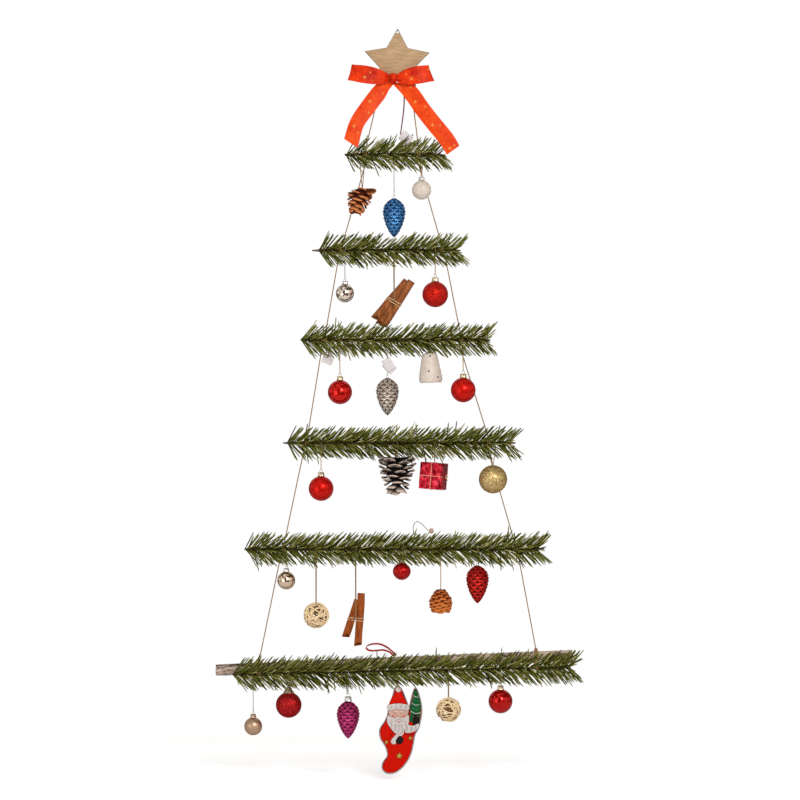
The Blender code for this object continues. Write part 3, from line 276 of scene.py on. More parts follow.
def glitter_material(name, dark, light, roughness=0.3, metallic=0.8, grain=1.0 * MM, crevice_shade=None):
    """Glitter: small flakes, each with its own brightness and facing, and painted shade between scales if
    given.
    """
    made = new_material(name, light, roughness, Metallic=metallic, Specular_Tint=dark)
    vector = place_vector(made)
    flakes = node(made, "SeparateColor", Color=cells_of(made, vector, 1 / grain)).outputs
    small = node(made, "SeparateColor", Color=cells_of(made, vector, 2.3 / grain)).outputs
    both = sum_of(made, flakes["Red"], 0.55, small["Green"], 0.45)
    flecks = ramp_of(made, both, (0.18, dark), (0.8, light))
    # Painted shade: where the scale lift is low, between and under the scales, the colour goes to a dark
    # shade colour.
    if crevice_shade:
        cover = math_of(made, "MULTIPLY", shade_of(made), 2.0)
        cover.node.use_clamp = True
        flecks = mix_of(made, cover, crevice_shade, flecks)
    set_shader(made, Base_Color=flecks)
    set_bump(made, both, 0.55, 0.45 * MM)
    set_roughness(made, flakes["Blue"], roughness - 0.12, roughness + 0.2)


def lacquer_material(name, colour, roughness, metallic, coat=0.0, rim=0.3):
    """Coloured metal or lacquer, darker at its rim, with faint clouds and fine scratches in its gloss."""
    made = new_material(name, colour, roughness, Metallic=metallic, Coat_Weight=coat,
                        Specular_Tint=scaled(colour, rim))
    vector = place_vector(made)
    clouds = ramp_of(made, noise_of(made, vector, 90.0), (0.35, scaled(colour, 0.88)), (0.65, colour))
    set_shader(made, Base_Color=clouds)
    set_roughness(made, noise_of(made, vector, 900.0, 2.0), roughness * 0.8, roughness * 1.25 + 0.01)


def needle_material():
    """Green plastic needles, each with its own tone, painted shade at its root and a painted highlight at its
    tip.
    """
    made = new_material("needles", (0.06, 0.1, 0.03), 0.6, Specular_IOR_Level=0.03)
    tones = ramp_of(made, shade_of(made), (0.0, (0.034, 0.036, 0.003)), (0.4, (0.134, 0.150, 0.022)),
                    (0.75, (0.320, 0.325, 0.080)), (1.0, (0.70, 0.62, 0.30)))
    set_shader(made, Base_Color=tones)
    grain = noise_of(made, place_vector(made), 700.0, 2.0)
    set_bump(made, grain, 0.25, 0.1 * MM)
    set_roughness(made, grain, 0.4, 0.62)


def ribbon_material(name, dark, light):
    """Red-orange satin with a fine cross rib and a generic print of gold stars and dots."""
    made = new_material(name, light, 0.42, Specular_IOR_Level=0.1)
    place = node(made, "UVMap", uv_map="UVMap").outputs["UV"]
    parts = node(made, "SeparateXYZ", Vector=place).outputs
    mask = 0.0
    for mark in RIBBON_PRINT:
        mask = math_of(made, "MAXIMUM", mask, print_mask(made, parts["X"], parts["Y"], *mark))
    red = ramp_of(made, noise_of(made, place_vector(made), 60.0), (0.3, dark), (0.7, light))
    set_shader(made, Base_Color=mix_of(made, math_of(made, "MULTIPLY", mask, 0.7), red, (0.82, 0.40, 0.09)))
    rib = node(made, "TexWave", Vector=place, Scale=260.0, Distortion=0.4, Detail=1.0, bands_direction="Y")
    set_bump(made, rib.outputs["Fac"], 0.2, 0.12 * MM)


def print_mask(material, across, along, pitch, offset, size, points, middle):
    """Where a printed mark covers the ribbon: a dot, or a five-pointed star if points is above 0."""
    step = math_of(material, "WRAP", math_of(material, "ADD", along, offset), pitch / 2, -pitch / 2)
    side = math_of(material, "SUBTRACT", across, middle)
    turn = math_of(material, "ARCTAN2", side, step)
    lobe = math_of(material, "COSINE", math_of(material, "MULTIPLY", turn, 5.0))
    flat = node(material, "CombineXYZ", X=side, Y=step).outputs["Vector"]
    length = node(material, "VectorMath", operation="LENGTH", Vector=flat).outputs["Value"]
    reach = math_of(material, "MULTIPLY_ADD", lobe, points * size, size)
    return math_of(material, "LESS_THAN", length, reach)


def figure_paint(name, colour):
    """Hand-brushed paint on wood: slight brush marks and a soft gloss."""
    made = new_material(name, colour, 0.5, Specular_IOR_Level=0.05)
    brush = noise_of(made, place_vector(made, (1, 1, 0.35)), 320.0)
    set_shader(made, Base_Color=ramp_of(made, brush, (0.3, scaled(colour, 0.82)), (0.65, colour)))
    set_bump(made, brush, 0.2, 0.1 * MM)


def foil_material():
    """Crinkled red foil: soft folds, with painted shade in their creases and painted light on their ridges.
    """
    made = new_material("foil", (0.36, 0.008, 0.022), 0.3, Metallic=0.85)
    vector = place_vector(made, (1, 1, 0.8))
    folds = noise_of(made, vector, 130.0, 2.0, 0.5)
    both = math_of(made, "MULTIPLY_ADD", cells_of(made, vector, 150.0, "Distance"), 0.35, folds)
    # The red darkens and brightens with the same fold height as the bump: painted shade and light.
    red = ramp_of(made, both, (0.38, (0.17, 0.001, 0.004)), (0.62, (0.38, 0.004, 0.016)),
                  (0.9, (0.70, 0.05, 0.08)))
    set_shader(made, Base_Color=red)
    set_bump(made, both, 1.0, 1.6 * MM)


def shaded_material(name, dark, light):
    """Woody scales and strands: from dark to pale by the shade laid on each, partly their own tone and partly
    painted shade and light, with patches and grain.
    """
    made = new_material(name, light, 0.62, Specular_IOR_Level=0.1)
    grain = noise_of(made, place_vector(made), 420.0, 4.0)
    value = math_of(made, "MULTIPLY_ADD", math_of(made, "SUBTRACT", grain, 0.5), 0.5, shade_of(made))
    middle = tuple(first * 0.6 + second * 0.4 for first, second in zip(dark, light))
    set_shader(made, Base_Color=ramp_of(made, value, (0.05, dark), (0.4, middle), (0.8, light)))
    set_bump(made, grain, 0.5, 0.25 * MM)


needle_material()
foil_material()
# The loops and the knot take a darker copy of the same satin as the tails: painted shade.
ribbon_material("ribbon", (0.46, 0.006, 0.001), (0.97, 0.056, 0.004))
ribbon_material("ribbon_tail", (0.74, 0.036, 0.002), (0.94, 0.092, 0.008))

# Wood, bark and paper
fibre_material("plywood", (0.40, 0.25, 0.130), (0.60, 0.40, 0.225), 55.0, (1, 1, 5), 0.6, 0.25, 0.15 * MM)
fibre_material("plywood_edge", (0.05, 0.028, 0.012), (0.16, 0.10, 0.05), 400.0, (0.2, 3, 0.2), 0.8)
fibre_material("twig", (0.075, 0.04, 0.026), (0.26, 0.16, 0.11), 160.0, (0.25, 1, 1), 0.85, 0.8, 0.5 * MM)
fibre_material("bark", (0.060, 0.032, 0.020), (0.60, 0.46, 0.37), 95.0, (0.4, 1, 1), 0.85, 0.9,
               0.8 * MM, 0.07)
fibre_material("cut_wood", (0.45, 0.30, 0.17), (0.70, 0.54, 0.36), 260.0)
for name, dark, light in (("cinnamon", (0.13, 0.028, 0.004), (0.46, 0.150, 0.040)),
                          ("cinnamon_pale", (0.16, 0.024, 0.001), (0.50, 0.120, 0.012))):
    fibre_material(name, dark, light, 210.0, (1, 1, 0.16), 0.7, 0.8, 0.45 * MM)
fibre_material("paper", (0.66, 0.61, 0.61), (0.80, 0.75, 0.75), 420.0, bump=0.15, depth=0.05 * MM)
fibre_material("bead", (0.55, 0.33, 0.26), (0.74, 0.52, 0.43), 260.0, roughness=0.5, bump=0.2)
fibre_material("bell", (0.64, 0.54, 0.46), (0.78, 0.68, 0.595), 110.0, roughness=0.4, bump=0.2,
               depth=0.1 * MM)

# Twine, threads and cords
fibre_material("twine", (0.20, 0.10, 0.033), (0.54, 0.33, 0.15), 700.0)
fibre_material("stem", (0.035, 0.018, 0.010), (0.14, 0.075, 0.04), 700.0)
fibre_material("rattan", (0.42, 0.25, 0.11), (0.95, 0.74, 0.47), 320.0)
fibre_material("white_thread", (0.50, 0.47, 0.43), (0.80, 0.77, 0.72), 900.0)
fibre_material("bead_string", (0.20, 0.11, 0.07), (0.42, 0.27, 0.19), 900.0)
fibre_material("grey_thread", (0.36, 0.34, 0.32), (0.62, 0.60, 0.57), 900.0)
fibre_material("gold_thread", (0.38, 0.25, 0.09), (0.72, 0.53, 0.26), 900.0)
fibre_material("dark_red_thread", (0.10, 0.002, 0.010), (0.27, 0.006, 0.024), 900.0)
fibre_material("black_cord", (0.012, 0.012, 0.014), (0.05, 0.05, 0.055), 900.0)
fibre_material("satin", (0.20, 0.003, 0.006), (0.50, 0.010, 0.014), 160.0, roughness=0.35, bump=0.15,
               depth=0.05 * MM)

# Metal and lacquer
lacquer_material("bell_dot", (0.02, 0.018, 0.02), 0.5, 0.0)
lacquer_material("gold", (0.74, 0.60, 0.42), 0.2, 1.0)
lacquer_material("bronze", (0.55, 0.40, 0.29), 0.26, 1.0)
lacquer_material("foil_band", (0.70, 0.30, 0.20), 0.3, 0.6)
lacquer_material("silver", (0.84, 0.82, 0.79), 0.18, 1.0)
lacquer_material("cap_white", (0.62, 0.60, 0.58), 0.35, 0.6)
lacquer_material("mirror_cool", (0.92, 0.80, 0.69), 0.06, 1.0, rim=0.25)
lacquer_material("mirror", (0.88, 0.68, 0.51), 0.06, 1.0, rim=0.25)
lacquer_material("red_shiny", (0.70, 0.009, 0.006), 0.12, 0.7, 0.3)
lacquer_material("red_deep", (0.56, 0.006, 0.005), 0.12, 0.7, 0.3)
lacquer_material("red_ribbed", (0.52, 0.008, 0.008), 0.2, 0.7, 0.25)
lacquer_material("red_matte", (0.68, 0.011, 0.006), 0.34, 0.55, 0.15)
lacquer_material("red_lower", (0.66, 0.010, 0.005), 0.34, 0.55, 0.15)
lacquer_material("champagne", (0.60, 0.40, 0.27), 0.38, 0.9)

# Glitter
glitter_material("red_glitter", (0.14, 0.001, 0.001), (0.98, 0.036, 0.022), metallic=0.5)
glitter_material("dark_red_glitter", (0.08, 0.001, 0.001), (0.80, 0.035, 0.035))
glitter_material("gold_glitter", (0.25, 0.12, 0.012), (1.0, 0.78, 0.38))
glitter_material("white_glitter", (0.56, 0.48, 0.40), (0.94, 0.84, 0.73), 0.5, 0.05)
# Glass cones: the third colour is painted shade for the hollows between their scales.
for name, dark, light, crevice_shade in (
        ("blue_glitter", (0.001, 0.055, 0.24), (0.19, 0.54, 1.0), (0.001, 0.008, 0.05)),
        ("silver_glitter", (0.30, 0.23, 0.18), (1.0, 0.89, 0.79), (0.05, 0.03, 0.02)),
        ("red_cone_glitter", (0.30, 0.001, 0.001), (0.98, 0.06, 0.045), (0.05, 0.001, 0.002)),
        ("magenta_glitter", (0.18, 0.001, 0.03), (1.0, 0.11, 0.38), (0.04, 0.001, 0.008))):
    glitter_material(name, dark, light, grain=0.7 * MM, crevice_shade=crevice_shade)

# Pinecones, rattan and paint
shaded_material("rattan_weave", (0.27, 0.13, 0.045), (1.0, 0.78, 0.48))
shaded_material("pinecone_small", (0.075, 0.010, 0.002), (0.80, 0.28, 0.10))
shaded_material("pinecone_orange", (0.13, 0.016, 0.001), (0.74, 0.21, 0.045))
shaded_material("pinecone_large", (0.008, 0.004, 0.003), (0.76, 0.59, 0.49))
for name, colour in (("red", (0.70, 0.007, 0.001)), ("white", (0.72, 0.64, 0.61)),
                     ("skin", (0.72, 0.44, 0.35)), ("cheek", (0.70, 0.25, 0.22)),
                     ("black", (0.018, 0.012, 0.012)), ("green", (0.006, 0.115, 0.032)),
                     ("gold", (0.56, 0.40, 0.08)),
                     ("edge", (0.075, 0.012, 0.010)), ("line", (0.22, 0.22, 0.25))):
    figure_paint("paint_" + name, colour)


# Mesh helpers

def add_object(name, data):
    """A new object in the scene."""
    made = bpy.data.objects.new(name, data)
    bpy.context.scene.collection.objects.link(made)
    return made


class Shape:
    """Vertices and faces gathered into one mesh, with a shade value at each vertex."""

    def __init__(self, verts=(), faces=()):
        self.verts, self.faces, self.shades, self.slots = [], [], [], []
        self.add(verts, faces)

    def add(self, verts, faces, shade=0.5, slot=0):
        """Add a closed part; shade is one value, or one for each vertex."""
        base = len(self.verts)
        self.verts.extend(Vector(vert) for vert in verts)
        self.faces.extend(tuple(base + index for index in face) for face in faces)
        self.slots.extend([slot] * len(faces))
        self.shades.extend([shade] * len(verts) if isinstance(shade, (int, float)) else shade)

    def move(self, matrix):
        """Place everything gathered so far."""
        self.verts = [matrix @ vert for vert in self.verts]
        return self

    def join(self, other):
        """Take in another shape's parts."""
        self.add(other.verts, other.faces, other.shades)
        self.slots[len(self.slots) - len(other.slots):] = other.slots
        return self

    def make(self, name, finishes, body, replaces=(), slot=None, sharp=None):
        """The finished piece, riding on a body."""
        mesh = bpy.data.meshes.new(name)
        mesh.from_pydata([tuple(vert) for vert in self.verts], [], self.faces)
        for finish in [finishes] if isinstance(finishes, str) else finishes:
            mesh.materials.append(FINISH[finish])
        mesh.polygons.foreach_set("material_index", self.slots)
        mesh.attributes.new("shade", "FLOAT", "POINT").data.foreach_set("value", self.shades)
        shape = bmesh.new()
        shape.from_mesh(mesh)
        bmesh.ops.recalc_face_normals(shape, faces=shape.faces)
        shape.to_mesh(mesh)
        shape.free()
        mesh.shade_smooth()
        if sharp is not None:
            mesh.set_sharp_from_angle(angle=math.radians(sharp))
        piece = add_object(name, mesh)
        if body:
            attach(piece, body)
        if replaces:
            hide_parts(*replaces)
        return piece


def turns(count):
    """Evenly spaced angles round a circle."""
    return [2 * math.pi * step / count for step in range(count)]


def heading_at(points, index, closed=False):
    """Direction of a path at one of its points."""
    if closed:
        return (points[(index + 1) % len(points)] - points[index - 1]).normalized()
    return (points[min(index + 1, len(points) - 1)] - points[max(index - 1, 0)]).normalized()


def frames_along(points, closed=False):
    """Two vectors square to a path at each of its points, without twist."""
    headings = [heading_at(points, index, closed) for index in range(len(points))]
    side = headings[0].orthogonal().normalized()
    frames = []
    for heading in headings:
        side = (side - heading * side.dot(heading)).normalized()
        frames.append((side, heading.cross(side)))
    return frames


def tube_faces(rings, sides, closed=False, capped=True):
    """Faces along a run of rings, with both ends closed off unless they meet."""
    faces = []
    for ring in range(rings if closed else rings - 1):
        upper, lower = ring * sides, (ring + 1) % rings * sides
        for step in range(sides):
            after = (step + 1) % sides
            faces.append((upper + step, upper + after, lower + after, lower + step))
    if capped and not closed:
        faces.append(tuple(range(sides)))
        faces.append(tuple(range((rings - 1) * sides, rings * sides)))
    return faces


def rod(points, radius, sides=8, closed=False, flat=1.0):
    """A tube along points as vertices and faces; radius is one value or one for each point."""
    points = [Vector(point) for point in points]
    radii = [radius] * len(points) if isinstance(radius, (int, float)) else radius
    verts = []
    for point, size, (side, up) in zip(points, radii, frames_along(points, closed)):
        for turn in turns(sides):
            verts.append(point + side * math.cos(turn) * size + up * math.sin(turn) * size * flat)
    return verts, tube_faces(len(points), sides, closed)


def smooth_path(points, steps, closed=False):
    """A Catmull-Rom path through points."""
    points = [Vector(point) for point in points]
    count = len(points)
    made = []
    for index in range(count if closed else count - 1):
        places = [index + shift for shift in (-1, 0, 1, 2)]
        knots = [points[place % count if closed else max(0, min(count - 1, place))] for place in places]
        made += [catmull(knots, step / steps) for step in range(steps)]
    return made if closed else made + [points[-1]]


def catmull(knots, share):
    """A point between the second and third of four knots."""
    first, second, third, fourth = knots
    square, cube = share * share, share * share * share
    return 0.5 * (2 * second + (third - first) * share
                  + (2 * first - 5 * second + 4 * third - fourth) * square
                  + (3 * second - first - 3 * third + fourth) * cube)


def even_path(points, spacing):
    """Points at an even spacing along a path."""
    points = [Vector(point) for point in points]
    lengths = [0.0]
    for first, second in zip(points, points[1:]):
        lengths.append(lengths[-1] + (second - first).length)
    count = max(2, round(lengths[-1] / spacing))
    made, index = [], 0
    for step in range(count + 1):
        goal = lengths[-1] * step / count
        while index < len(points) - 2 and lengths[index + 1] < goal:
            index += 1
        span = lengths[index + 1] - lengths[index]
        made.append(points[index].lerp(points[index + 1], (goal - lengths[index]) / span if span else 0))
    return made


def twisted(shape, points, radius, pitch=5 * MM, sides=5, samples=7, closed=False, shade=0.5):
    """Two strands laid round a path, as in twine; radius is that of the whole."""
    path = even_path(points + points[:1] if closed else points, pitch / samples)
    if closed:
        path = path[:-1]
    strand = radius / 2
    for start in (0.0, 0.5):
        line = []
        for index, (point, (side, up)) in enumerate(zip(path, frames_along(path, closed))):
            turn = 2 * math.pi * (index / samples + start)
            line.append(point + (side * math.cos(turn) + up * math.sin(turn)) * strand)
        shape.add(*rod(line, strand * 1.12, sides, closed), shade)


def arch(steps, power=1.0):
    """A unit ball's outline for lathe; a power below 1 makes it squarer."""
    rows = [(math.sin(math.pi * step / steps) ** power, math.cos(math.pi * step / steps))
            for step in range(1, steps)]
    return [(0, 1.0)] + rows + [(0, -1.0)]


def lathe(profile, steps, relief=None):
    """A turned closed body: (radius, height) pairs from top to bottom, both ends on the axis."""
    verts, faces = [Vector((0, 0, profile[0][1]))], []
    for radius, height in profile[1:-1]:
        for turn in turns(steps):
            reach = radius * (relief(turn, height) if relief else 1)
            verts.append(Vector((reach * math.cos(turn), reach * math.sin(turn), height)))
    verts.append(Vector((0, 0, profile[-1][1])))
    last = 1 + (len(profile) - 3) * steps
    for step in range(steps):
        after = (step + 1) % steps
        faces.append((0, 1 + step, 1 + after))
        for upper in range(1, last, steps):
            faces.append((upper + step, upper + steps + step, upper + steps + after, upper + after))
        faces.append((last + step, len(verts) - 1, last + after))
    return verts, faces


def circle_points(centre, radius, axis, steps):
    """Points of a circle about an axis."""
    points = []
    for turn in turns(steps):
        one, two = radius * math.cos(turn), radius * math.sin(turn)
        shift = {"X": (0, one, two), "Y": (one, 0, two), "Z": (one, two, 0)}[axis]
        points.append(Vector(centre) + Vector(shift))
    return points


def shrunk(outline, amount):
    """A closed outline moved inwards by an amount; positive for an outline that turns left."""
    made = []
    count = len(outline)
    for index in range(count):
        here = Vector(outline[index])
        before = (here - Vector(outline[index - 1])).normalized()
        after = (Vector(outline[(index + 1) % count]) - here).normalized()
        first, second = Vector((-before.y, before.x)), Vector((-after.y, after.x))
        inward = (first + second).normalized()
        made.append(here + inward * amount / max(inward.dot(first), 0.45))
    return made


def area_of(outline):
    """Signed area of an outline; positive if it turns left."""
    pairs = zip(outline, outline[1:] + outline[:1])
    return sum(first[0] * second[1] - second[0] * first[1] for first, second in pairs) / 2


def plate(outline, front, thickness, bevel, holes=(), edge_slot=0):
    """A flat plate in the X-Z plane whose face is at y = front, with its front edges rounded off."""
    made = bmesh.new()
    rings = []
    for number, loop in enumerate([list(outline)] + [list(hole) for hole in holes]):
        if (area_of(loop) < 0) == (number == 0):
            loop.reverse()
        levels = [(front, shrunk(loop, bevel)), (front + bevel * 0.35, shrunk(loop, bevel * 0.35)),
                  (front + bevel, loop), (front + thickness, loop)]
        rings.append([[made.verts.new((x, y, z)) for x, z in points] for y, points in levels])
    rim = []
    for levels in rings:
        for upper, lower in zip(levels, levels[1:]):
            for index in range(len(upper)):
                after = (index + 1) % len(upper)
                rim.append(made.faces.new((upper[index], upper[after], lower[after], lower[index])))
    for level in (0, -1):
        edges = []
        for ring in (levels[level] for levels in rings):
            edges += [made.edges.get(pair) for pair in zip(ring, ring[1:] + ring[:1])]
        bmesh.ops.triangle_fill(made, use_beauty=True, use_dissolve=False, edges=edges)
    made.verts.index_update()
    edged = set(rim)
    flat = [face for face in made.faces if face not in edged]
    faces = [tuple(vert.index for vert in face.verts) for face in flat + rim]
    shape = Shape([vert.co.copy() for vert in made.verts], faces)
    shape.slots[len(flat):] = [edge_slot] * len(rim)
    made.free()
    return shape


def round_outline(points):
    """A closed outline smoothed through its points."""
    return [(place.x, place.y) for place in smooth_path([(x, z, 0) for x, z in points], 5, True)]


def star_outline(centre, radius, inner, turn):
    """A five-pointed star's corners about a centre."""
    made = []
    for step in range(10):
        angle, reach = math.pi * step / 5 + turn, radius * (inner if step % 2 else 1)
        made.append((centre[0] + reach * math.sin(angle), centre[1] + reach * math.cos(angle)))
    return made


def circle_outline(centre, radius, steps):
    """A circle's points about a centre."""
    return [(centre[0] + radius * math.cos(turn), centre[1] + radius * math.sin(turn))
            for turn in turns(steps)]


def at(place, tilt):
    """A placing matrix: tilted in the picture, then moved."""
    return Matrix.Translation(place) @ Matrix.Rotation(tilt, 4, "Y")


# Places on the ladder

CAP_HEIGHT_SHARE = 0.38
LEANING_GAP = 0.9 * MM
LEANING_KNEE = 12.5 * MM


def slope_of(index):
    """Rise of a stick along the tree's width; only the lowest one is hung askew."""
    return math.tan(BARK_TILT) if index == RUNG_COUNT - 1 else 0


def middle_height(index):
    """Height of a stick's axis at the middle of the tree."""
    low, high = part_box(f"stick_{index + 1}")
    middle = (low + high) / 2
    return middle.z - middle.x * slope_of(index)


RUNG_HEIGHTS = [middle_height(index) for index in range(RUNG_COUNT)]


def stick_height(index, across):
    """Height of a stick's axis at a place across the tree."""
    return RUNG_HEIGHTS[index] + across * slope_of(index)


def stick_radius(index):
    """Radius of a rung's stick."""
    return BARK_RADIUS if index == RUNG_COUNT - 1 else TWIG_RADIUS


def stick_point(index, across):
    """A point on a stick's axis."""
    return Vector((across, -RUNG_DEPTH, stick_height(index, across)))


def stem_point(index, across):
    """A point on a garland's stem."""
    if index < RUNG_COUNT - 1:
        return Vector((across, -RUNG_DEPTH - STEM_FORWARD, RUNG_HEIGHTS[index]))
    left, right = -STEM_LEFT_ENDS[index], STEM_RIGHT_ENDS[index]
    share = (across - left) / (right - left)
    low = stick_height(index, left) - BOTTOM_STEM_DROP_LEFT
    high = stick_height(index, right) - BOTTOM_STEM_DROP_RIGHT
    return Vector((across, -RUNG_DEPTH - BOTTOM_STEM_FORWARD, low + (high - low) * share))


def twine_places(side):
    """Where one leg of the twine is tied, from rung to rung, and where its eyes sit."""
    sign, ties = SIGNS[side], TWINE_PLACES[side]
    eyes = [sign * (place + way * EYE_OFFSET) for place, way in zip(ties, EYE_SIDES[side])]
    return [sign * place for place in ties], eyes


def twine_run(index, side):
    """The top and bottom of one straight run of twine, above a rung."""
    tied, eyes = twine_places(side)
    low = stick_point(index, tied[index])
    low.z += stick_radius(index) + CLEARANCE + TWINE_RADIUS
    if index == 0:
        return TWINE_STARTS[side], low
    high = stick_point(index - 1, eyes[index - 1])
    high.z -= stick_radius(index - 1) + CLEARANCE + TWINE_RADIUS
    return high, low


def pivot_of(item):
    """Where an ornament's hinge is."""
    return PIVOTS["hang_" + item["name"]]


def rung_of(item):
    """Index of the rung that carries an ornament."""
    pivot = pivot_of(item)
    gaps = [abs(pivot.z - stem_point(index, pivot.x).z) + abs(pivot.z - stick_height(index, pivot.x))
            for index in range(RUNG_COUNT)]
    return gaps.index(min(gaps))


def hang_point(item):
    """Where an ornament's thread meets the ornament: the top of its cap or body."""
    pivot = pivot_of(item)
    stem = stem_point(rung_of(item), pivot.x)
    half, upright = item["width"] / 2, item["length"] * math.cos(item["tilt"])
    drop, forward = item["reach"] - upright, -stem.y
    if item["kind"] in ("bauble", "ribbed"):
        drop -= half * CAP_HEIGHT_SHARE
    if item["kind"] == "cinnamon":
        drop += upright / 2
    if item["leans"]:
        forward = RUNG_DEPTH + TWINE_RADIUS + LEANING_GAP + half
    if item["kind"] == "pinecone":
        forward = max(forward, half)
    return Vector((pivot.x, -forward, stem.z - drop))


# Garlands

NEEDLE_LENGTH = 36 * MM
NEEDLE_SLANT = math.radians(47)
NEEDLE_HALF_WIDTH = 0.98 * MM
NEEDLE_HALF_DEPTH = 0.35 * MM
NEEDLE_SPACING = 5.4 * MM
NEEDLE_PARTING = 1.1 * MM
START_SPREAD = 8 * MM
TURN_PAST = 4 * MM
TAIL_END_ROOM = 32 * MM
TAIL_END_CLEAR = 20 * MM
# Rows of needles round the stem: turn from straight down towards the viewer, in degrees, and size.
NEEDLE_ROWS = ((-6, 1.0), (12, 1.0), (30, 0.88), (50, 0.76), (70, 0.56), (110, 0.56), (130, 0.76),
               (150, 0.88), (168, 1.0), (186, 1.0), (-24, 0.92), (204, 0.92))
# Sections along a needle: place, width share and how much lighter it is painted there: painted shade at the
# root by the stem, a painted highlight at the tip.
NEEDLE_SECTIONS = ((0.0, 0.7, -0.30), (0.3, 1.0, -0.04), (0.88, 0.95, 0.08), (1.0, 0.45, 0.22))


def lanes_of(index):
    """Where threads and twine hang through a garland: place across and the turns they sweep, from
    straight down towards the viewer, as seen from the stem."""
    lanes = []
    for item in ORNAMENTS:
        if rung_of(item) == index:
            low, high = (-55, 16) if item["leans"] else (-12, 12)
            lanes.append((pivot_of(item).x, NEEDLE_PARTING + item["spread"] / 2, low, high))
    for side in SIGNS:
        tied, eyes = twine_places(side)
        lanes.append((tied[index], NEEDLE_PARTING * 1.6, 192, 230))
        if index < RUNG_COUNT - 1:
            lanes.append((eyes[index], NEEDLE_PARTING * 1.3, -50, -12))
    return [(across, room, math.radians(low), math.radians(high)) for across, room, low, high in lanes]


def parted(lanes, place, lean, turn):
    """A needle's lean along the stem and its turn, so that it passes beside the threads it would cross:
    one that starts away from a thread turns past it, and one that starts close by leans less."""
    for across, room, low, high in lanes:
        inside = low < turn < high
        if not inside or not place - room < across < place + lean + room:
            continue
        if across - place > TURN_PAST:
            turn = low if turn - low < high - turn and high < math.pi else high
        else:
            lean = min(lean, across - room - place)
    return lean, turn


def hits_ornament(guests, tip):
    """Whether a needle's tip reaches an ornament that hangs from the rung above."""
    return any(abs(tip.x - centre) < half and tip.z > low for centre, half, low in guests)


def under_tail(index, tip):
    """Whether a needle of the top garland would come through an end of the bow's tails."""
    if index > 0 or tip.y >= -TAIL_END_CLEAR:
        return False
    for side in SIGNS:
        low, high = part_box(f"bow_tail_{side}")
        outer = low.x if side == "left" else high.x
        if abs(tip.x - outer) < TAIL_END_ROOM and tip.z > low.z - 1 * MM:
            return True
    return False


def guests_of(index):
    """Ornaments of the rung above that come down near a garland: place, half width, lowest height."""
    return [(pivot_of(item).x, item["width"] * 0.42, pivot_of(item).z - item["reach"] - 0.5 * MM)
            for item in ORNAMENTS if rung_of(item) == index - 1]


def clamped(value):
    """A value kept between 0 and 1."""
    return max(0.0, min(1.0, value))


def add_needle(shape, rng, root, outward, lean, reach):
    """One flat tapering needle with a slight bow."""
    way = Vector((1, 0, 0)) * lean + outward * reach
    bow = rng.uniform(-0.04, 0.06) * way.length
    side = way.cross(Vector((0, 1, 0.05))).normalized()
    side = Quaternion(way.normalized(), rng.uniform(-0.7, 0.7)) @ side
    over = side.cross(way).normalized()
    tone = clamped(rng.gauss(0.45, 0.22))
    verts, shades = [], []
    for share, size, lift in NEEDLE_SECTIONS:
        centre = root + way * share + over * bow * (share * share - share * 0.4)
        half = NEEDLE_HALF_WIDTH * size
        verts += [centre - side * half, centre + side * half, centre + over * NEEDLE_HALF_DEPTH * size]
        # Each needle's own tone, with painted shade at its root and a painted highlight at its tip.
        shades += [clamped(tone + lift)] * 3
    shape.add(verts, tube_faces(len(NEEDLE_SECTIONS), 3), shades)


def build_garland(index):
    """A twisted wire stem with flat needles that all slant to the right, up and down."""
    rng = random.Random(SEED + index)
    left, right = -STEM_LEFT_ENDS[index], STEM_RIGHT_ENDS[index]
    length = right - left
    lanes, guests = lanes_of(index), guests_of(index)
    needles = Shape()
    places = int(length / NEEDLE_SPACING)
    for number in range(places * len(NEEDLE_ROWS)):
        row, full = NEEDLE_ROWS[number % len(NEEDLE_ROWS)]
        across = left + (number // len(NEEDLE_ROWS) + rng.random()) * length / places
        turn = math.radians(row + rng.gauss(0, 6))
        size = NEEDLE_LENGTH * full * rng.uniform(0.84, 1.04)
        slant = NEEDLE_SLANT + rng.gauss(0, math.radians(4.5))
        root = stem_point(index, across)
        near_start = across - left < START_SPREAD
        if near_start:
            slant += math.radians(rng.uniform(0, 18))
        elif rng.random() < 0.03:
            slant += math.radians(rng.uniform(15, 40))
        lean, turn = parted(lanes, across, size * math.cos(slant), turn)
        reach = size * math.sin(slant)
        outward = Vector((0, -math.sin(turn), -math.cos(turn)))
        tip = root + Vector((lean, 0, 0)) + outward * reach
        turned_back = lean < -2 * MM and not near_start
        if turned_back or tip.y > -1.0 * MM or hits_ornament(guests, tip) or under_tail(index, tip):
            continue
        add_needle(needles, rng, root + outward * STEM_RADIUS * 0.4, outward, lean, reach)
    needles.make(f"needles_{index + 1}", "needles", f"rung_{index + 1}", (f"garland_{index + 1}",), "needles")
    stem = Shape()
    stem_line = [stem_point(index, left + length * step / 8) for step in range(9)]
    twisted(stem, stem_line, STEM_RADIUS, 6 * MM, 6, 6)
    stem.make(f"stem_{index + 1}", "stem", f"rung_{index + 1}", slot="twig")


# Sticks

STICK_TIP = 0.35
STICK_TAPER = 22 * MM
STICK_SHORT = 7 * MM
KNOT_SPREAD = 0.012
WORN_END = 0.03


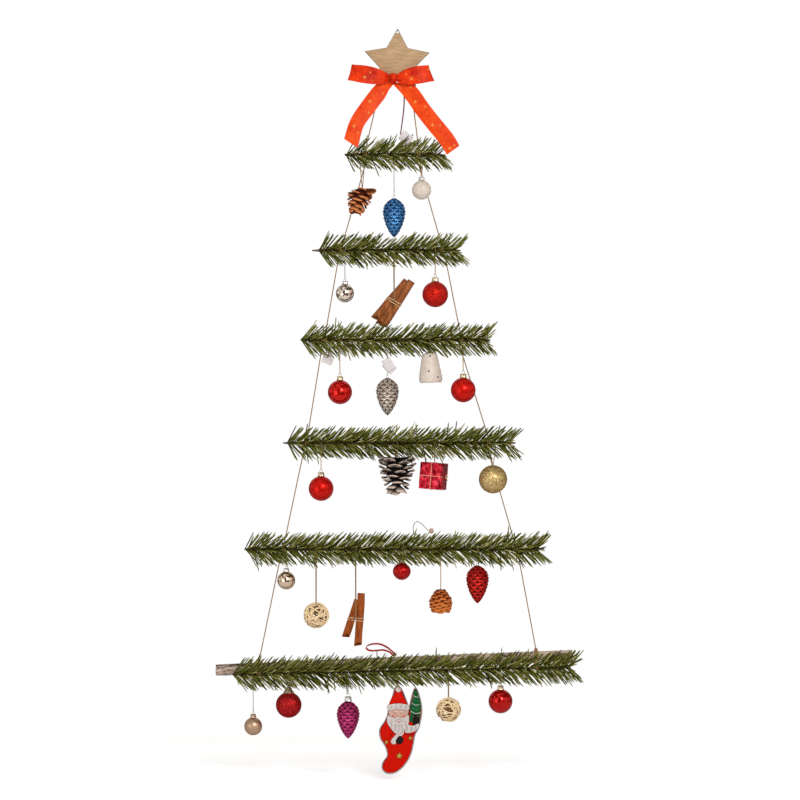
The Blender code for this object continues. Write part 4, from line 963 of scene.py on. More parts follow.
def build_stick(index):
    """A rung's stick with knots, a rough bark and cut ends."""
    rng = random.Random(SEED * 3 + index)
    low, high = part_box(f"stick_{index + 1}")
    radius, bottom = stick_radius(index), index == RUNG_COUNT - 1
    inset = radius * math.sin(BARK_TILT) if bottom else 0
    short = 0 if bottom else STICK_SHORT
    left, right = stick_point(index, low.x + inset), stick_point(index, high.x - inset - short)
    knots = [rng.uniform(0.05, 0.95) for _ in range(5 if bottom else 3)]
    sides, rings, rough = (28, 150, 0.075) if bottom else (12, 70, 0.12)
    path = [left.lerp(right, step / rings) for step in range(rings + 1)]
    verts, faces = rod(path, radius, sides)
    moved = []
    for number, vert in enumerate(verts):
        centre, share = path[number // sides], number // sides / rings
        bulge = sum(math.exp(-((share - knot) / KNOT_SPREAD) ** 2) for knot in knots) * 0.1
        grain = noise.noise(Vector((vert.x * 45, vert.y * 260, vert.z * 260)) + Vector((index * 9, 0, 0)))
        swell = 1 - rough / 2 + grain * rough + bulge
        if bottom and share < WORN_END:
            swell *= 0.93 + 0.07 * share / WORN_END
        if not bottom:
            tail = min(share, 1 - share) * (right - left).length
            swell *= STICK_TIP + (1 - STICK_TIP) * min(1.0, tail / STICK_TAPER)
        moved.append(centre + (vert - centre) * min(swell, 1.06))
    shape = Shape(moved, faces)
    if bottom:
        shape.slots[-2:] = [1, 1]
        for way, end in ((-1, left), (1, right)):
            tip = Vector((way * 0.4 * MM, 0, 0))
            for ring in (0.75, 0.45, 0.2):
                shape.add(*rod([end - tip, end + tip * ring], radius * ring, 16), slot=1)
    look = "bark" if bottom else "twig"
    shape.make(f"wood_{index + 1}", (look, "cut_wood"), f"rung_{index + 1}", (f"stick_{index + 1}",),
               look, 50)


# Twine

WRAP_PITCH = 2.3 * MM
KNOT_RADIUS = 1.9 * MM
BOW_KNOT_RADIUS = 1.3 * MM


def belt(first, first_radius, second, second_radius, steps=14):
    """Points of a closed loop round two parallel rods that run along X."""
    away = second - first
    facing = math.atan2(away.z, away.y)
    spread = math.acos((first_radius - second_radius) / math.hypot(away.y, away.z))
    far, near = 2 * math.pi - 2 * spread, 2 * spread
    stops = [(first, first_radius, facing + spread + far * step / steps) for step in range(steps + 1)]
    steps //= 2
    stops += [(second, second_radius, facing - spread + near * step / steps) for step in range(steps + 1)]
    return [centre + Vector((0, math.cos(turn), math.sin(turn))) * radius for centre, radius, turn in stops]


def build_twine(index, side):
    """One run of twine: an eye or a knot at its top, a knot and three wraps at the rung below."""
    rng = random.Random(SEED * 5 + index * 2 + (side == "left"))
    high, low = twine_run(index, side)
    across = twine_places(side)[0][index]
    stick, stem = stick_point(index, across), stem_point(index, across)
    room = CLEARANCE + TWINE_RADIUS
    shape = Shape()
    for turn in (-1, 0, 1):
        shift = Vector((turn * WRAP_PITCH, 0, 0))
        loop = belt(stick + shift, stick_radius(index) + room, stem + shift, STEM_RADIUS + room)
        loop = [place + Vector((rng.uniform(-0.2, 0.2) * MM, 0, 0)) for place in loop]
        twisted(shape, loop, TWINE_RADIUS, closed=True, shade=0.4)
    twisted(shape, [high, low + Vector((0, 0, 0.5 * MM))], TWINE_RADIUS)
    for slant, lift in ((0.5, 1.0 * MM), (-0.45, 2.1 * MM)):
        ring = [low + Vector((math.cos(turn) * KNOT_RADIUS, math.sin(turn) * KNOT_RADIUS - 0.4 * MM,
                              math.sin(turn + slant) * 0.9 * MM + lift)) for turn in turns(16)]
        twisted(shape, ring, TWINE_RADIUS * 0.95, closed=True)
    if index == 0:
        for spin in (0.0, 1.1, 2.2):
            ring = [Matrix.Rotation(spin, 3, "Z") @ (place + Vector((0, 0.2 * MM, 0))) + high
                    for place in circle_points((0, 0, 0), BOW_KNOT_RADIUS, "Y", 16)]
            ring = [Vector((place.x, max(place.y, room), place.z)) for place in ring]
            twisted(shape, ring, TWINE_RADIUS * 0.9, closed=True)
    else:
        above = stick_point(index - 1, high.x)
        wrap = circle_points(above, stick_radius(index - 1) + room, "X", 22)
        twisted(shape, wrap, TWINE_RADIUS, closed=True)
        collar = circle_points(high - Vector((0, 0, 1.9 * MM)), 1.7 * MM, "Z", 16)
        twisted(shape, collar, TWINE_RADIUS * 0.9, closed=True)
    shape.make(f"jute_{side}_{index + 1}", "twine", f"rung_{index + 1}", (f"twine_{side}_{index + 1}",),
               "twine")


# Star and bow

STAR_RADIUS = 54.7 * MM
STAR_INNER_SHARE = 0.53
STAR_DROP = 48.6 * MM
STAR_TILT = math.radians(1.2)
STAR_THICKNESS = 4 * MM
HOLE_RADIUS = 2.1 * MM
RIBBON_WIDTH = 25.5 * MM
RIBBON_THICKNESS = 0.45 * MM
KNOT_AT = Vector((-0.007, -0.0108, -0.0745))
KNOT_SIZE = Vector((16.5, 13.0, 17.5)) * MM
LOOP_REACHES = {"left": 70.5 * MM, "right": 62.5 * MM}
LOOP_DEPTH = 15.5 * MM
LOOP_LEAN = {"left": 0.27, "right": 0.40}
LOOP_BACK_RISE = 2.6 * MM
LOOP_FRONT_DIP = 2.4 * MM
TAIL_REACHES = {"left": 64.0 * MM, "right": 92.4 * MM}
TAIL_DROPS = {"left": 97 * MM, "right": 108 * MM}
TAIL_TOP = Vector((-0.007, -0.0085, -0.08355))
TAIL_END_DEPTH = 25 * MM
TAIL_END_SKEW = {"left": -0.34, "right": 0.10}
PLEAT_COUNT = 2.5
# Ribbon loops seen from above: share of the reach, share of the depth, width share
LOOP_SHARES = (
    (0.0, 0.20, 0.0), (0.12, 0.12, 0.36), (0.34, 0.05, 0.78), (0.65, 0.02, 1.0), (0.93, 0.10, 1.0),
    (1.0, 0.40, 1.0), (0.93, 0.78, 1.0), (0.65, 1.0, 1.0), (0.30, 0.92, 0.80), (0.10, 0.82, 0.36),
    (0.0, 0.72, 0.0),
)
# Tails: share of the reach, share of the drop, width share
TAIL_SHARES = {
    "left": ((0.0, 0.0, 0.16), (0.17, 0.05, 0.70), (0.33, 0.19, 1.0), (0.57, 0.40, 1.0),
             (0.85, 0.67, 0.92), (1.0, 1.0, 0.95)),
    "right": ((0.0, 0.0, 0.16), (0.14, 0.05, 0.70), (0.29, 0.17, 1.0), (0.46, 0.38, 1.0),
              (0.66, 0.60, 1.0), (0.88, 0.83, 1.0), (1.0, 1.0, 0.95)),
}


def build_star():
    """The plywood star, with scorched edges where it was cut, and its hanging hole."""
    centre = (-STAR_DROP * math.sin(STAR_TILT), -STAR_DROP * math.cos(STAR_TILT))
    outline = star_outline(centre, STAR_RADIUS, STAR_INNER_SHARE, STAR_TILT)
    hole = circle_outline((0, 0), HOLE_RADIUS, 20)
    shape = plate(outline, -STAR_THICKNESS, STAR_THICKNESS, 0.45 * MM, [hole], 1)
    shape.make("star_plate", ("plywood", "plywood_edge"), "root", ("star",), "plywood", 30)


def lay_print(piece, places):
    """Lay a place on the ribbon at each vertex, across and along, for its print."""
    layer = piece.data.uv_layers.new(name="UVMap")
    for loop in piece.data.loops:
        layer.data[loop.index].uv = places[loop.vertex_index]


def ribbon_piece(name, rows, finish):
    """A thin ribbon through rows of points, closed all round, with its print laid along it."""
    count, across = len(rows), len(rows[0])
    middle = across // 2
    verts, places = [], []
    for sign in (1, -1):
        run = 0.0
        for index, row in enumerate(rows):
            before, after = rows[max(index - 1, 0)], rows[min(index + 1, count - 1)]
            if index:
                run += (row[middle] - rows[index - 1][middle]).length
            for step, place in enumerate(row):
                side = row[min(step + 1, across - 1)] - row[max(step - 1, 0)]
                normal = (after[step] - before[step]).cross(side).normalized()
                verts.append(place + normal * sign * RIBBON_THICKNESS / 2)
                places.append(((step / (across - 1) - 0.5) * RIBBON_WIDTH, run))
    faces = []
    back = count * across
    for index in range(count - 1):
        for first in range(index * across, (index + 1) * across - 1):
            second, third, fourth = first + 1, first + 1 + across, first + across
            faces.append((first, second, third, fourth))
            faces.append((back + fourth, back + third, back + second, back + first))
    rim = list(range(across))
    rim += [index * across + across - 1 for index in range(1, count)]
    rim += [(count - 1) * across + step for step in range(across - 2, -1, -1)]
    rim += [index * across for index in range(count - 2, 0, -1)]
    for vert, after in zip(rim, rim[1:] + rim[:1]):
        faces.append((vert, back + vert, back + after, after))
    piece = Shape(verts, faces).make(name, finish, None, sharp=60)
    lay_print(piece, places)
    return piece, run


def pleated_row(centre, half, normal, width, phase):
    """One row of a ribbon: gathered into pleats where it is narrower than its real width."""
    row = []
    steps = 12
    for step in range(steps + 1):
        share = step / steps
        fold = math.cos(2 * math.pi * PLEAT_COUNT * share + phase) * (1 - width) * 2.1 * MM
        crown = (1 - (2 * share - 1) ** 2) * 0.7 * MM
        row.append(centre + half * (2 * share - 1) + normal * (fold + crown))
    return row


def ribbon_path(controls, shares, steps):
    """A ribbon's smooth middle line, and its width share at each point of it."""
    widths = smooth_path([Vector((width, 0, 0)) for *_, width in shares], steps)
    return smooth_path(controls, steps), [clamped(width.x) for width in widths]


def build_bow_loop(side):
    """One loop of the bow: the ribbon goes out behind and comes back in front."""
    sign = SIGNS[side]
    reach = LOOP_REACHES[side] - KNOT_SIZE.x / 2
    back = -STAR_THICKNESS - 0.8 * MM
    controls = [Vector((KNOT_AT.x + sign * (KNOT_SIZE.x * 0.36 + across * reach * 1.02),
                        back - depth * LOOP_DEPTH, KNOT_AT.z + across * reach * 0.15))
                for across, depth, _ in LOOP_SHARES]
    path, widths = ribbon_path(controls, LOOP_SHARES, 7)
    rows = []
    for index, (centre, share) in enumerate(zip(path, widths)):
        half = RIBBON_WIDTH / 2 * (0.42 + 0.58 * share)
        out = abs(centre.x - KNOT_AT.x) / LOOP_REACHES[side]
        lean = Vector((-sign * LOOP_LEAN[side] * out ** 2, 0, 1))
        normal = heading_at(path, index).cross(lean).normalized() * sign
        rise, phase = (LOOP_BACK_RISE, 0.6) if index < len(path) / 2 else (-LOOP_FRONT_DIP, 2.2)
        dip = Vector((0, 0, rise * math.sin(math.pi * min(1.0, out))))
        rows.append(pleated_row(centre + dip, lean * half, normal, share, phase))
    # The loop takes the darker satin: painted shade.
    piece, length = ribbon_piece(f"ribbon_loop_{side}", rows, "ribbon")
    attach(piece, "root")
    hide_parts(f"bow_loop_{side}")


def build_bow_tail(side):
    """One tail of the bow, which bends at the knot and hangs in front of the twine."""
    controls = []
    for across, down, _ in TAIL_SHARES[side]:
        depth = -TAIL_TOP.y + (TAIL_END_DEPTH + TAIL_TOP.y) * down
        controls.append(Vector((TAIL_TOP.x + SIGNS[side] * (3.4 * MM + across * TAIL_REACHES[side]), -depth,
                                TAIL_TOP.z + 2.0 * MM - down * (TAIL_DROPS[side] + 1.5 * MM))))
    path, widths = ribbon_path(controls, TAIL_SHARES[side], 9)
    rows = []
    for index, (centre, share) in enumerate(zip(path, widths)):
        heading = heading_at(path, index)
        square = Vector((-heading.z, 0, heading.x)).normalized()
        if square.x < 0:
            square = -square
        progress = index / (len(path) - 1)
        if progress < 0.25:
            square = (Vector((1, 0, 0)).lerp(square, progress / 0.25)).normalized()
        half = RIBBON_WIDTH / 2 * (0.30 + 0.70 * share)
        wave = math.sin(progress * math.pi * 2.4 + (0.8 if side == "left" else 0.0)) * 0.9 * MM
        row = pleated_row(centre + Vector((0, wave, 0)), square * half, Vector((0, -1, 0)), share, 0.9)
        skew = TAIL_END_SKEW[side] * max(0.0, (progress - 0.78) / 0.22) ** 2
        rows.append([place + heading * skew * (step / (len(row) - 1) - 0.5) * -RIBBON_WIDTH
                     for step, place in enumerate(row)])
    piece, length = ribbon_piece(f"ribbon_tail_{side}", rows, "ribbon_tail")
    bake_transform(piece)
    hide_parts(f"bow_tail_{side}")


def build_bow_knot():
    """The wrapped middle of the bow: a ribbon drawn tight, with upright folds."""
    verts, faces = lathe(arch(22, 0.55), 44)
    moved = []
    for vert in verts:
        turn = math.atan2(vert.y, vert.x)
        folds = 1 + 0.055 * math.cos(9 * turn) + 0.03 * math.cos(4 * turn + vert.z * 3)
        waist = 1 - 0.16 * (1 - vert.z ** 2)
        moved.append(Vector((vert.x * KNOT_SIZE.x / 2 * folds * waist * 0.84,
                             vert.y * KNOT_SIZE.y / 2 * folds * 0.9, vert.z * KNOT_SIZE.z / 2 * 0.92)))
    shape = Shape([KNOT_AT + place for place in moved], faces)
    # The knot takes the darker satin: painted shade.
    piece = shape.make("ribbon_knot", "ribbon", "root", ("bow_knot",), "ribbon")
    lay_print(piece, [(math.atan2(place.x, -place.y) * 6 * MM + 40 * MM, place.z + 0.2) for place in moved])


# Loose string, loops and tags

TAG_STRING_WIDTH = 2.5 * MM
TAG_SIZE = (20 * MM, 17 * MM)
PAPER_TAG_SIZE = (17.5 * MM, 15.5 * MM)
TAG_THICKNESS = 0.6 * MM
TAG_CORNER = 1.2 * MM
SATIN_WIDTH = 4.2 * MM
LOOP_STRING_WIDTH = 1.2 * MM
BEAD_RADIUS = 4.4 * MM


def tag_shape(centre, size, turn, hole=True, fold=0.0):
    """A paper tag with rounded corners and a punched hole, folded along its top if fold is above 0."""
    half_width, half_height = size[0] / 2, size[1] / 2
    outline = []
    for right, up, start in ((1, 1, 0), (-1, 1, 90), (-1, -1, 180), (1, -1, 270)):
        for step in range(4):
            angle = math.radians(start + step * 30)
            outline.append((right * (half_width - TAG_CORNER) + TAG_CORNER * math.cos(angle),
                            up * (half_height - TAG_CORNER) + TAG_CORNER * math.sin(angle)))
    holes = [circle_outline((-half_width * 0.68, half_height * 0.62), 1.1 * MM, 10)] if hole else []
    shape = plate(outline, -TAG_THICKNESS / 2, TAG_THICKNESS, 0.12 * MM, holes)
    shape.verts = [Vector((x, y + x * x * 6 + z * z * 3, z)) for x, y, z in shape.verts]
    if fold:
        shape.join(Shape().join(shape).move(Matrix.Rotation(fold, 4, "X")))
    return shape.move(at(centre, turn))


def build_tag_string():
    """A dark red ribbon string behind the knot, with a blank paper tag at its end."""
    start = TAIL_TOP + Vector((14.0, 2.5, 0.6)) * MM
    bends = ((0, 0, 0), (3.4, 0.2, -15), (3.6, -2, -32), (1.6, -5, -54), (-2.4, -9.6, -82.5))
    path = smooth_path([start + Vector(bend) * MM for bend in bends], 8)
    sizes = [TAG_STRING_WIDTH / 2 * (1 - 0.25 * step / (len(path) - 1)) for step in range(len(path))]
    string = Shape(*rod(path, sizes, 8, flat=0.9)).make("tag_ribbon", "dark_red_thread", "bow_tails",
                                                        ("tag_string",), "satin_cord")
    centre = path[-1] + Vector((9.0 * MM, -0.4 * MM, -5.0 * MM))
    tag = tag_shape(centre, TAG_SIZE, 0.62).make("blank_tag", "paper", "bow_tails", slot="paper")


def build_paper_tag():
    """A blank folded tag on a black cord, at the left of the third rung."""
    low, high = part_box("paper_tag")
    across = (low.x + high.x) / 2
    stick = stick_point(2, across)
    centre = Vector((across - 1 * MM, low.y + 2.4 * MM, low.z + 9.8 * MM))
    shape = tag_shape(centre, PAPER_TAG_SIZE, 0.35, fold=0.10)
    shape.make("folded_tag", "paper", "rung_4", ("paper_tag",), "paper")
    hole = centre + Vector((-1.2, 0, 4.0)) * MM
    bends = ((hole, (0, -1.4, -1.0)), (hole, (2, -2.2, 3)), (stick, (1.4, -4.6, 0)), (stick, (0.4, 0, 4.6)),
             (stick, (-0.6, 4.6, 0)), (stick, (-1.2, 1.5, -8)), (hole, (-2, 1.8, 3)), (hole, (0, 1.4, -1.0)))
    loop = smooth_path([place + Vector(shift) * MM for place, shift in bends], 7, True)
    Shape(*rod(loop, 0.6 * MM, 7, True)).make("tag_cord", "black_cord", "rung_4", slot="satin_cord")


def build_satin_loop():
    """The figure's satin ribbon: a flat loop that lies over the lowest garland."""
    low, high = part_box("satin_loop")
    depth = (low.y + high.y) / 2
    base, rise = low.z + 1.7 * MM, high.z - low.z - 3.4 * MM
    shares = ((1.0, 0.0), (0.86, 0.50), (0.68, 1.02), (0.45, 1.36), (0.22, 1.34), (0.07, 1.12), (0.06, 0.78),
              (0.20, 0.58), (0.40, 0.62), (0.58, 0.66), (0.76, 0.46), (0.92, 0.0))
    controls = [Vector((low.x + across * (high.x - low.x), depth + (1.5 if number < 6 else -1.5) * MM,
                        base + up * rise)) for number, (across, up) in enumerate(shares)]
    path = smooth_path(controls, 7)
    face = Vector((0.25, 0.75, 0.6)).normalized()
    verts = []
    for index, place in enumerate(path):
        heading = heading_at(path, index)
        wide = (face - heading * face.dot(heading)).normalized()
        thin = heading.cross(wide)
        for turn in turns(8):
            verts.append(place + wide * math.cos(turn) * SATIN_WIDTH / 2 + thin * math.sin(turn) * 0.3 * MM)
    shape = Shape(verts, tube_faces(len(path), 8))
    piece = shape.make("satin_ribbon", "satin", "rung_6", ("satin_loop",), "satin_cord")


def build_string_loop():
    """A loop of string that stands above the fifth garland, with a wooden bead."""
    low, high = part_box("string_loop")
    bead_at = Vector((high.x - BEAD_RADIUS, (low.y + high.y) / 2, 0))
    base = stick_point(4, low.x) + Vector((0.6 * MM, 0, stick_radius(4) + 0.9 * MM))
    span = bead_at.x - BEAD_RADIUS - base.x
    rise = high.z - 0.6 * MM - base.z
    bends = ((0.30, 0.0), (0.10, 0.35), (-0.02, 0.68), (0.06, 0.92), (0.26, 1.0), (0.52, 0.91), (0.76, 0.77),
             (1.0, 0.62))
    path = smooth_path([base + Vector((across * span, 0, up * rise)) for across, up in bends], 4)
    bead_at.z = path[-1].z
    string = Shape(*rod(path, LOOP_STRING_WIDTH / 2, 7)).make("loop_string", "bead_string", "rung_5",
                                                              ("string_loop",), "paper")
    profile = [(BEAD_RADIUS * radius, BEAD_RADIUS * height * (0.9 if radius else 0.86))
               for radius, height in arch(14, 0.9)]
    bead = Shape(*lathe(profile, 24)).move(at(bead_at, math.pi / 2))
    bead_piece = bead.make("wooden_bead", "bead", "rung_5", slot="paper")


# Ornaments: each maker returns pieces as (name, shape, finishes, slot, sharp angle), about the top of
# the ornament, and the height above that top where its thread is held

BALL_LOOKS = {
    "bauble_white": ("white_glitter", "white_glitter"), "bauble_silver_upper": ("mirror_cool", "silver"),
    "bauble_red_glitter": ("red_glitter", "red_glitter"), "bauble_red_shiny": ("red_shiny", "red_shiny"),
    "bauble_red_matte": ("red_matte", "red_matte"), "bauble_red_lower": ("red_lower", "red_matte"),
    "bauble_gold": ("gold_glitter", "gold"), "bauble_silver_lower": ("mirror", "silver"),
    "bauble_ribbed": ("red_ribbed", "red_shiny"), "bauble_champagne": ("champagne", "champagne"),
    "bauble_dark_red": ("dark_red_glitter", "red_glitter"), "bauble_red_end": ("red_deep", "red_shiny"),
}
CONE_LOOKS = {
    "cone_blue": ("blue_glitter", "blue_glitter"), "cone_silver": ("silver_glitter", "silver_glitter"),
    "cone_red": ("red_cone_glitter", "red_glitter"), "cone_magenta": ("magenta_glitter", "magenta_glitter"),
}
CAP_LOOKS = {
    "gold": ("gold", "gold"), "gold_flare": ("gold", "gold"), "silver": ("silver", "silver"),
    "bronze": ("bronze", "champagne"), "white": ("cap_white", "silver"),
}
GOLDEN_ANGLE = math.pi * (3 - math.sqrt(5))
CAP_LEAST_WIDTH = 4.4 * MM
CAP_LEAST_HEIGHT = 5.6 * MM
RING_LEAST_RADIUS = 2.1 * MM
# A cap's outline, and one with a flared foot: shares of its width and of its height.
CAP_PROFILE = ((0, 1.0), (0.5, 1.0), (0.86, 0.97), (1.0, 0.86), (1.0, 0.3), (1.05, 0.14), (1.14, 0))
FLARED_PROFILE = ((0, 1.35), (0.22, 1.35), (0.34, 1.2), (0.45, 0.9), (0.72, 0.45), (1.0, 0.05), (0.96, -0.12),
                  (0, -0.3))


def cap_pieces(kind, radius, top):
    """A crimped metal cap with its wire ring; radius is the ball's."""
    finish, slot = CAP_LOOKS[kind]
    width, height = max(radius * 0.25, CAP_LEAST_WIDTH), max(radius * 0.33, CAP_LEAST_HEIGHT)
    profile, ribs = CAP_PROFILE, 20
    if kind == "gold_flare":
        width, profile, ribs = radius * 0.42, FLARED_PROFILE, 12
    profile = [(width * wide, height * high) for wide, high in profile]
    if kind != "gold_flare":
        profile.append((0, -radius * 0.1))
    cap = Shape(*lathe(profile, 60, lambda turn, z: 1 + 0.035 * math.cos(ribs * turn)))
    ring, peak = max(radius * 0.13, RING_LEAST_RADIUS), profile[0][1]
    cap.add(*rod(circle_points((0, 0, peak + ring * 0.75), ring, "Y", 20), 0.38 * MM, 6, True))
    cap.move(Matrix.Translation((0, 0, top)) @ Matrix.Rotation(0.5, 4, "Z"))
    return ("cap", cap, finish, slot, 40), top + peak + ring * 1.4


def make_bauble(item):
    """A blown ball under its cap."""
    radius, half = item["width"] / 2, item["length"] / 2
    cap_height = radius * CAP_HEIGHT_SHARE
    ribbed = item["kind"] == "ribbed"
    verts, faces = lathe(arch(32), 72 if ribbed else 48, ribbed_relief if ribbed else None)
    ball = Shape([(x * radius, y * radius, z * half - cap_height - half) for x, y, z in verts], faces)
    look, slot = BALL_LOOKS[item["name"]]
    pieces = [("ball", ball, look, slot, None)]
    if not item["cap"]:
        return pieces, -cap_height + 0.2 * MM
    cap, held = cap_pieces(item["cap"], radius, -cap_height - half * 0.02)
    return pieces + [cap], held


def ribbed_relief(turn, height):
    """Upright ribs that fade towards the poles; heights are shares of the radius."""
    return 0.86 + 0.14 * abs(math.sin(turn * 7)) ** 0.6 * (1 - 0.6 * height * height)


def outline_radius(down):
    """Half width share of a glass cone at a share of its length from the top."""
    if down < 0.36:
        return max(0.0, math.sin(math.pi / 2 * (down / 0.36) ** 0.62))
    fall = (down - 0.36) / 0.64
    return max(0.0, 1 - fall ** 1.62) ** 0.74


def scale_lift(turn, down, rows, count):
    """Height share of overlapping scales at a place on a glass cone."""
    place = down * rows
    best = 0.0
    for row in (math.floor(place), math.floor(place) - 1):
        across = (turn / (2 * math.pi) * count + 0.5 * (row % 2)) % 1.0 - 0.5
        along = place - row
        lip = 1.28 - 1.15 * (2 * across) ** 2 * 0.55
        if 0 <= along <= lip:
            best = max(best, (along / lip) ** 1.4 * (1 - 0.45 * (2 * across) ** 2))
    return best


def make_cone(item):
    """A glass cone of overlapping scales under its cap."""
    half = item["width"] / 2
    cap_height = half * (0.2 if item["cap"] else 0.1)
    length = item["length"] - cap_height
    rows, count, rings, columns, relief = 12, 8, 132, 120, 0.14
    profile = [(outline_radius(ring / rings), -ring / rings) for ring in range(1, rings)]
    profile = [(0, 0.0), *profile, (0, -1.0)]
    unit, faces = lathe(profile, columns)
    verts, shades = [], []
    for vert in unit:
        radius, down = math.hypot(vert.x, vert.y), -vert.z
        turn = math.atan2(vert.y, vert.x)
        lift = scale_lift(turn, down, rows, count)
        # The scale lift is kept as shade, so that the glitter takes painted shade in the hollows between
        # scales.
        shades.append(lift)
        lift *= relief * min(1.0, 8 * down, 6 * (1 - down) + 0.1)
        reach = half * radius * (1 - relief + lift) if radius > 0 else 0
        verts.append(Vector((reach * math.cos(turn), reach * math.sin(turn), -cap_height - down * length)))
    body = Shape()
    body.add(verts, faces, shades)
    look, slot = CONE_LOOKS[item["name"]]
    pieces = [("glass", body, look, slot, None)]
    if item["cap"]:
        cap, held = cap_pieces(item["cap"], half * 1.1, -cap_height - 0.4 * MM)
        return pieces + [cap], held
    wire = Shape()
    tip = Vector((0, 0, 2.6 * MM))
    for way in (-1, 1):
        foot = Vector((way * 2.6 * MM, 0, -cap_height - 1.2 * MM))
        wire.add(*rod([foot, foot.lerp(tip, 0.6) + Vector((way * 0.4 * MM, 0, 0)), tip], 0.42 * MM, 6))
    wire.add(*rod(circle_points((0, 0, 3.2 * MM), 1.1 * MM, "Y", 14), 0.36 * MM, 6, True))
    return pieces + [("wire", wire, "silver", "silver", None)], 4.0 * MM


CONE_BUILDS = {
    "pinecone_small": {"scales": 36, "core": 0.58, "thick": 3.0 * MM, "blade": 0.40,
                       "curl": 0.10, "lean": 0.62, "tilts": (10, -35, -62, -80),
                       "fullness": (0.62, 0.95, 1.0, 0.84, 0.62, 0.40)},
    "pinecone_large": {"scales": 50, "core": 0.56, "thick": 3.8 * MM, "blade": 0.33,
                       "curl": 0.12, "lean": 0.0, "tilts": (30, 12, -14, -72),
                       "fullness": (0.86, 1.04, 1.06, 0.99, 0.84, 0.64, 0.42, 0.22)},
    "pinecone_orange": {"scales": 72, "core": 0.78, "thick": 2.8 * MM, "blade": 0.30,
                        "curl": 0.06, "lean": 0.0, "tilts": (-34, -52, -70, -82),
                        "fullness": (0.0, 0.50, 0.86, 1.0, 1.0, 0.88, 0.62)},
}
# Sections along a scale: place, width share, thickness share and how light its upper side is painted.
# Dark at the root and at the very edge of the tip for painted shade between scales; paler towards the tip,
# partly the scale's own tone and partly painted light.
SCALE_SECTIONS = ((0.0, 0.34, 0.5, 0.0), (0.30, 0.62, 0.6, 0.08), (0.55, 0.95, 0.8, 0.3),
                  (0.78, 1.0, 1.0, 0.7), (0.93, 0.80, 0.95, 1.0), (1.0, 0.45, 0.5, 0.5))


def between(values, share):
    """A value at a share of the way through a row of evenly spaced values."""
    place = min(max(share, 0.0), 0.999) * (len(values) - 1)
    first = int(place)
    return values[first] + (values[first + 1] - values[first]) * (place - first)


def add_scale(shape, rng, foot, side, along, length, width, thick, curl):
    """One woody scale: narrow at its foot, broad and thick at its rounded tip, with painted shade underneath
    and painted light on its upper side.
    """
    normal = along.cross(side).normalized()
    verts, shades = [], []
    wobble, tone = rng.uniform(-0.08, 0.08), rng.uniform(0.75, 1.1)
    for share, wide, deep, light in SCALE_SECTIONS:
        centre = foot + along * (share * length) + normal * (curl * share * share * length)
        for step, turn in enumerate(turns(8)):
            keel = 1.25 if step == 2 else 1.0
            verts.append(centre + side * (math.cos(turn) * wide * width / 2 * (1 + wobble))
                         + normal * (math.sin(turn) * deep * thick / 2 * keel))
            # Painted light: the upper side is lighter and the underside darker, as light falls from above.
            facing = 0.55 + 0.45 * math.sin(turn) + 0.25 * abs(math.cos(turn))
            shades.append(clamped(light * facing * tone))
    shape.add(verts, tube_faces(len(SCALE_SECTIONS), 8), shades)


def make_pinecone(item):
    """A pinecone: woody scales in a spiral round a core, opening towards its tip below."""
    build = CONE_BUILDS[item["name"]]
    rng = random.Random(SEED + int(item["length"] * 10000))
    half, length = item["width"] / 2, item["length"]
    core = [(0, -0.02 * length)]
    for step in range(1, 14):
        down = step / 14
        swell = math.sin(math.pi * min(1.0, 0.12 + 0.88 * down)) ** 0.6
        radius = half * build["core"] * between(build["fullness"], down) * swell + 0.4 * MM
        core.append((radius, -down * length * 0.9))
    core.append((0, -0.91 * length))
    shape = Shape()
    # The core is dark: painted shade in the gaps between the scales.
    shape.add(*lathe(core, 20), 0.0)
    for number in range(build["scales"]):
        share = (number + 0.5) / build["scales"]
        turn = number * GOLDEN_ANGLE
        down = 0.03 + 0.78 * share ** 0.95
        outward = Vector((math.cos(turn), math.sin(turn), 0))
        tilt = math.radians(between(build["tilts"], share)) + rng.uniform(-0.09, 0.09)
        along = outward * math.cos(tilt) + Vector((0, 0, math.sin(tilt)))
        wide = between(build["fullness"], down + 0.06)
        foot_radius = half * build["core"] * wide * 0.85
        reach = (half * wide - foot_radius) * rng.uniform(0.93, 1.04) / max(0.5, math.cos(tilt))
        reach = min(max(reach, 0.27 * half), half * 0.56)
        foot = outward * foot_radius + Vector((0, 0, -down * length))
        width = item["width"] * build["blade"] * (0.65 + 0.4 * wide) * rng.uniform(0.92, 1.08)
        side = Vector((0, 0, 1)).cross(outward)
        thick = build["thick"] * (0.7 + 0.3 * wide)
        add_scale(shape, rng, foot, side, along, reach, width, thick, build["curl"])
    if build["lean"]:
        for drop, along, long in ((0.06, (0.86, -0.30, -0.02), 1.0), (0.20, (0.70, -0.35, -0.40), 0.85)):
            open_scale = Vector(along).normalized()
            broad = open_scale.cross(Vector((0.1, -0.75, 0.65))).normalized()
            add_scale(shape, rng, Vector((0.2 * half, -0.25 * half, -drop * length)), broad, open_scale,
                      half * long, item["width"] * 0.40, build["thick"], -0.06)
    shape.move(Matrix.Rotation(build["lean"], 4, "Y"))
    low = min(vert.z for vert in shape.verts)
    shape.verts = [Vector((x, y, min(z * length / -low, 0.4 * MM))) for x, y, z in shape.verts]
    return [("scales", shape, item["name"], "cone_scales", 35)], -1.2 * MM


RATTAN_STRAND = 0.85 * MM
RATTAN_COUNT = 52
RATTAN_INNER = 20


